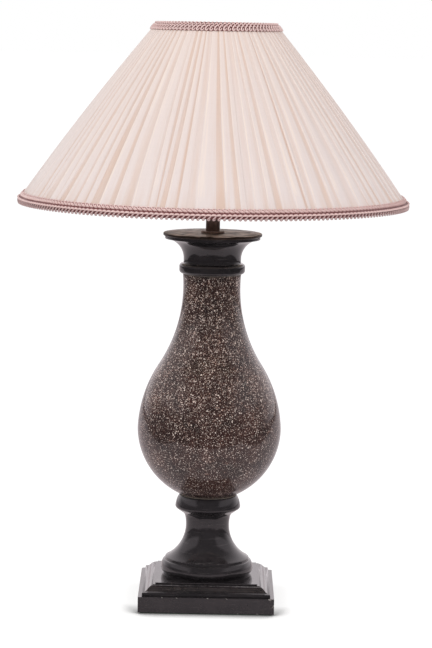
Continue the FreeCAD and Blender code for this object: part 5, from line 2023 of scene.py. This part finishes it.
    def _band(self, name: str, low: Point, high: Point, thick: float, finish: str) -> None:
        """Turn the flat band that shows between the loops; where it wears the core's finish it is also
        painted shade.

        Args:
            name: The piece's name.
            low: Radius and height of its lower inner edge, in millimetres.
            high: Radius and height of its upper inner edge.
            thick: Its thickness.
            finish: Its finish.
        """
        along = (Vector(high) - Vector(low)).normalized()
        across, up = along.y * thick, -along.x * thick
        section = Profile(low).to((low[0] + across, low[1] + up), (high[0] + across, high[1] + up), high)
        band = turn(name, section, steps=180)
        smooth(band, 50.0)
        self.palette.finish(band, Body.SHADE, finish, slot="braid")


# The studio


@dataclass
class Studio:
    """White studio: table, surroundings, soft lamps and the camera at the photograph's angle.

    Its lengths are in metres and its angles in degrees. Each lamp holds its place, its power and its colour.
    """

    key: tuple[Point3, float, Point3] = ((-1.6, -1.6, 2.0), 24.0, (1.0, 0.97, 0.94))
    side: tuple[Point3, float, Point3] = ((1.9, -1.2, 1.5), 12.5, (1.0, 0.94, 0.912))
    lamp_size: float = 1.8
    aim_height: float = 0.35
    camera_place: Point3 = (0.0058, -3.080, 0.722)
    camera_pitch: float = 7.14
    camera_roll: float = 1.07
    camera_lens: float = 144.33
    fill: float = 0.66
    front_dark: float = 0.20
    side_panels: float = 0.75
    table_edge: float = -0.50
    table_side: float = 0.60
    table_spread: float = 3.0
    shadow_reach: float = 0.030

    def build(self) -> None:
        """Make the table, the surroundings, the lamps and the camera."""
        self._table()
        self._surroundings()
        self._lamp("key_lamp", *self.key)
        self._lamp("side_lamp", *self.side)
        self._camera()
        view = bpy.context.scene.view_settings
        view.view_transform = "Standard"

    def _table(self) -> None:
        """White table that keeps the lamp's shadow, with a painted contact shadow round the plinth that fades
        towards the back, and shows dark in gloss beyond its front edge.
        """
        deselect()
        bpy.ops.mesh.primitive_plane_add(size=60.0)
        table = bpy.context.object
        table.name = "studio_table"
        material, sketch, surface = new_material("white_table")
        rays = sketch.add("ShaderNodeLightPath")
        spot = sketch.split(sketch.object_place())
        near = sketch.remap(spot["Y"], self.table_edge - 0.02, self.table_edge + 0.02)
        behind = sketch.times(sketch.remap(spot["Y"], -0.1, 1.9, smooth=False), self.table_spread)
        aside = sketch.math("SUBTRACT", sketch.math("ABSOLUTE", spot["X"]), behind)
        inside = sketch.remap(aside, self.table_side - 0.05, self.table_side + 0.05, 1.0, 0.0)
        mirrored = sketch.blend(sketch.times(near, inside), (0.16, 0.14, 0.15, 1), (0.88, 0.80, 0.83, 1))
        colour = sketch.blend(rays.outputs["Is Glossy Ray"], (0.84, 0.84, 0.84, 1), mirrored)
        colour = sketch.blend(rays.outputs["Is Camera Ray"], colour, (0.36, 0.36, 0.36, 1))
        sketch.feed(surface, {"Base Color": colour, "Roughness": 0.9, "Specular IOR Level": 0.0})
        seen = sketch.math("ADD", rays.outputs["Is Camera Ray"], rays.outputs["Is Transmission Ray"],
                           clamp=True)
        # Painted contact shadow: ambient occlusion dims the table's white glow near the lamp, less towards
        # the back.
        open_air = sketch.add("ShaderNodeAmbientOcclusion", {"Distance": self.shadow_reach}, samples=12)
        lit = sketch.remap(open_air.outputs["AO"], 0.50, 0.93, 0.0, 0.82, smooth=False)
        clear = sketch.remap(spot["Y"], -0.084, -0.030, 0.0, 0.76, smooth=False)
        shine = sketch.times(seen, sketch.math("MAXIMUM", lit, clear))
        glow = sketch.add("ShaderNodeEmission", {"Color": (1, 1, 1, 1), "Strength": shine})
        both = sketch.add("ShaderNodeAddShader", {0: surface.outputs[0], 1: glow.outputs[0]})
        sketch.feed(sketch.tree.nodes["Material Output"], {"Surface": both.outputs[0]})
        table.data.materials.append(material)

    def _surroundings(self) -> None:
        """White all round, dark in gloss on the side where the camera stands."""
        world = bpy.data.worlds.new("studio_world")
        bpy.context.scene.world = world
        world.use_nodes = True
        sketch = Sketch(world.node_tree)
        backdrop = world.node_tree.nodes["Background"]
        rays = sketch.add("ShaderNodeLightPath")
        way = sketch.split(sketch.add("ShaderNodeTexCoord").outputs["Generated"])
        behind = sketch.plus(way["Y"], sketch.times(way["X"], 0.12))
        front = sketch.remap(behind, 0.04, 0.80, self.front_dark, 1.0)
        sideways = sketch.remap(sketch.math("ABSOLUTE", way["X"]), 0.48, 0.74)
        raised = sketch.times(sketch.remap(way["Z"], 0.16, 0.30),
                              sketch.remap(way["Z"], 0.62, 0.80, 1.0, 0.0))
        panels = sketch.times(sketch.times(sideways, raised), self.side_panels)
        mirror = rays.outputs["Is Glossy Ray"]
        clear = sketch.math("ADD", rays.outputs["Is Camera Ray"], rays.outputs["Is Transmission Ray"],
                            clamp=True)
        glossy = sketch.times(mirror, sketch.math("MAXIMUM", front, panels))
        plain = sketch.math("SUBTRACT", 1.0, sketch.math("ADD", clear, mirror, clamp=True))
        strength = sketch.plus(sketch.math("MAXIMUM", clear, glossy), sketch.times(plain, self.fill))
        tint = sketch.blend(mirror, (1, 1, 1, 1), (1.0, 0.93, 0.96, 1))
        sketch.feed(backdrop, {"Color": tint, "Strength": strength})

    def _lamp(self, name: str, place: Point3, power: float, colour: Point3) -> None:
        """Hang one soft lamp that points at the middle of the object.

        Args:
            name: The lamp's name.
            place: Where it hangs.
            power: Its power.
            colour: Its colour.
        """
        data = bpy.data.lights.new(name, "AREA")
        data.size, data.energy, data.color = self.lamp_size, power, colour
        lamp = bpy.data.objects.new(name, data)
        bpy.context.collection.objects.link(lamp)
        lamp.location = place
        aim = Vector((0, 0, self.aim_height)) - Vector(place)
        lamp.rotation_euler = aim.to_track_quat("-Z", "Y").to_euler()
        lamp.visible_glossy = False

    def _camera(self) -> None:
        """Camera of the photograph: a long lens, a little above the plate, looking slightly down."""
        data = bpy.data.cameras.new("photo_camera")
        data.sensor_width = 36.0
        data.lens = self.camera_lens
        data.clip_start, data.clip_end = 0.1, 100.0
        camera = bpy.data.objects.new("photo_camera", data)
        bpy.context.collection.objects.link(camera)
        camera.location = self.camera_place
        tilt = Matrix.Rotation(math.radians(90.0 - self.camera_pitch), 4, "X")
        roll = Matrix.Rotation(math.radians(self.camera_roll), 4, "Z")
        camera.rotation_euler = (tilt @ roll).to_euler()
        bpy.context.scene.camera = camera


def main() -> None:
    """Build the lamp and its studio."""
    logging.basicConfig(level=logging.INFO, format="%(name)s: %(message)s")
    palette = Palette()
    palette.dress_solids()
    for part in (Plinth, Column, Stem, ContactSprings, Shade):
        part(palette).build()
    Studio().build()


if __name__ == "__main__":
    main()
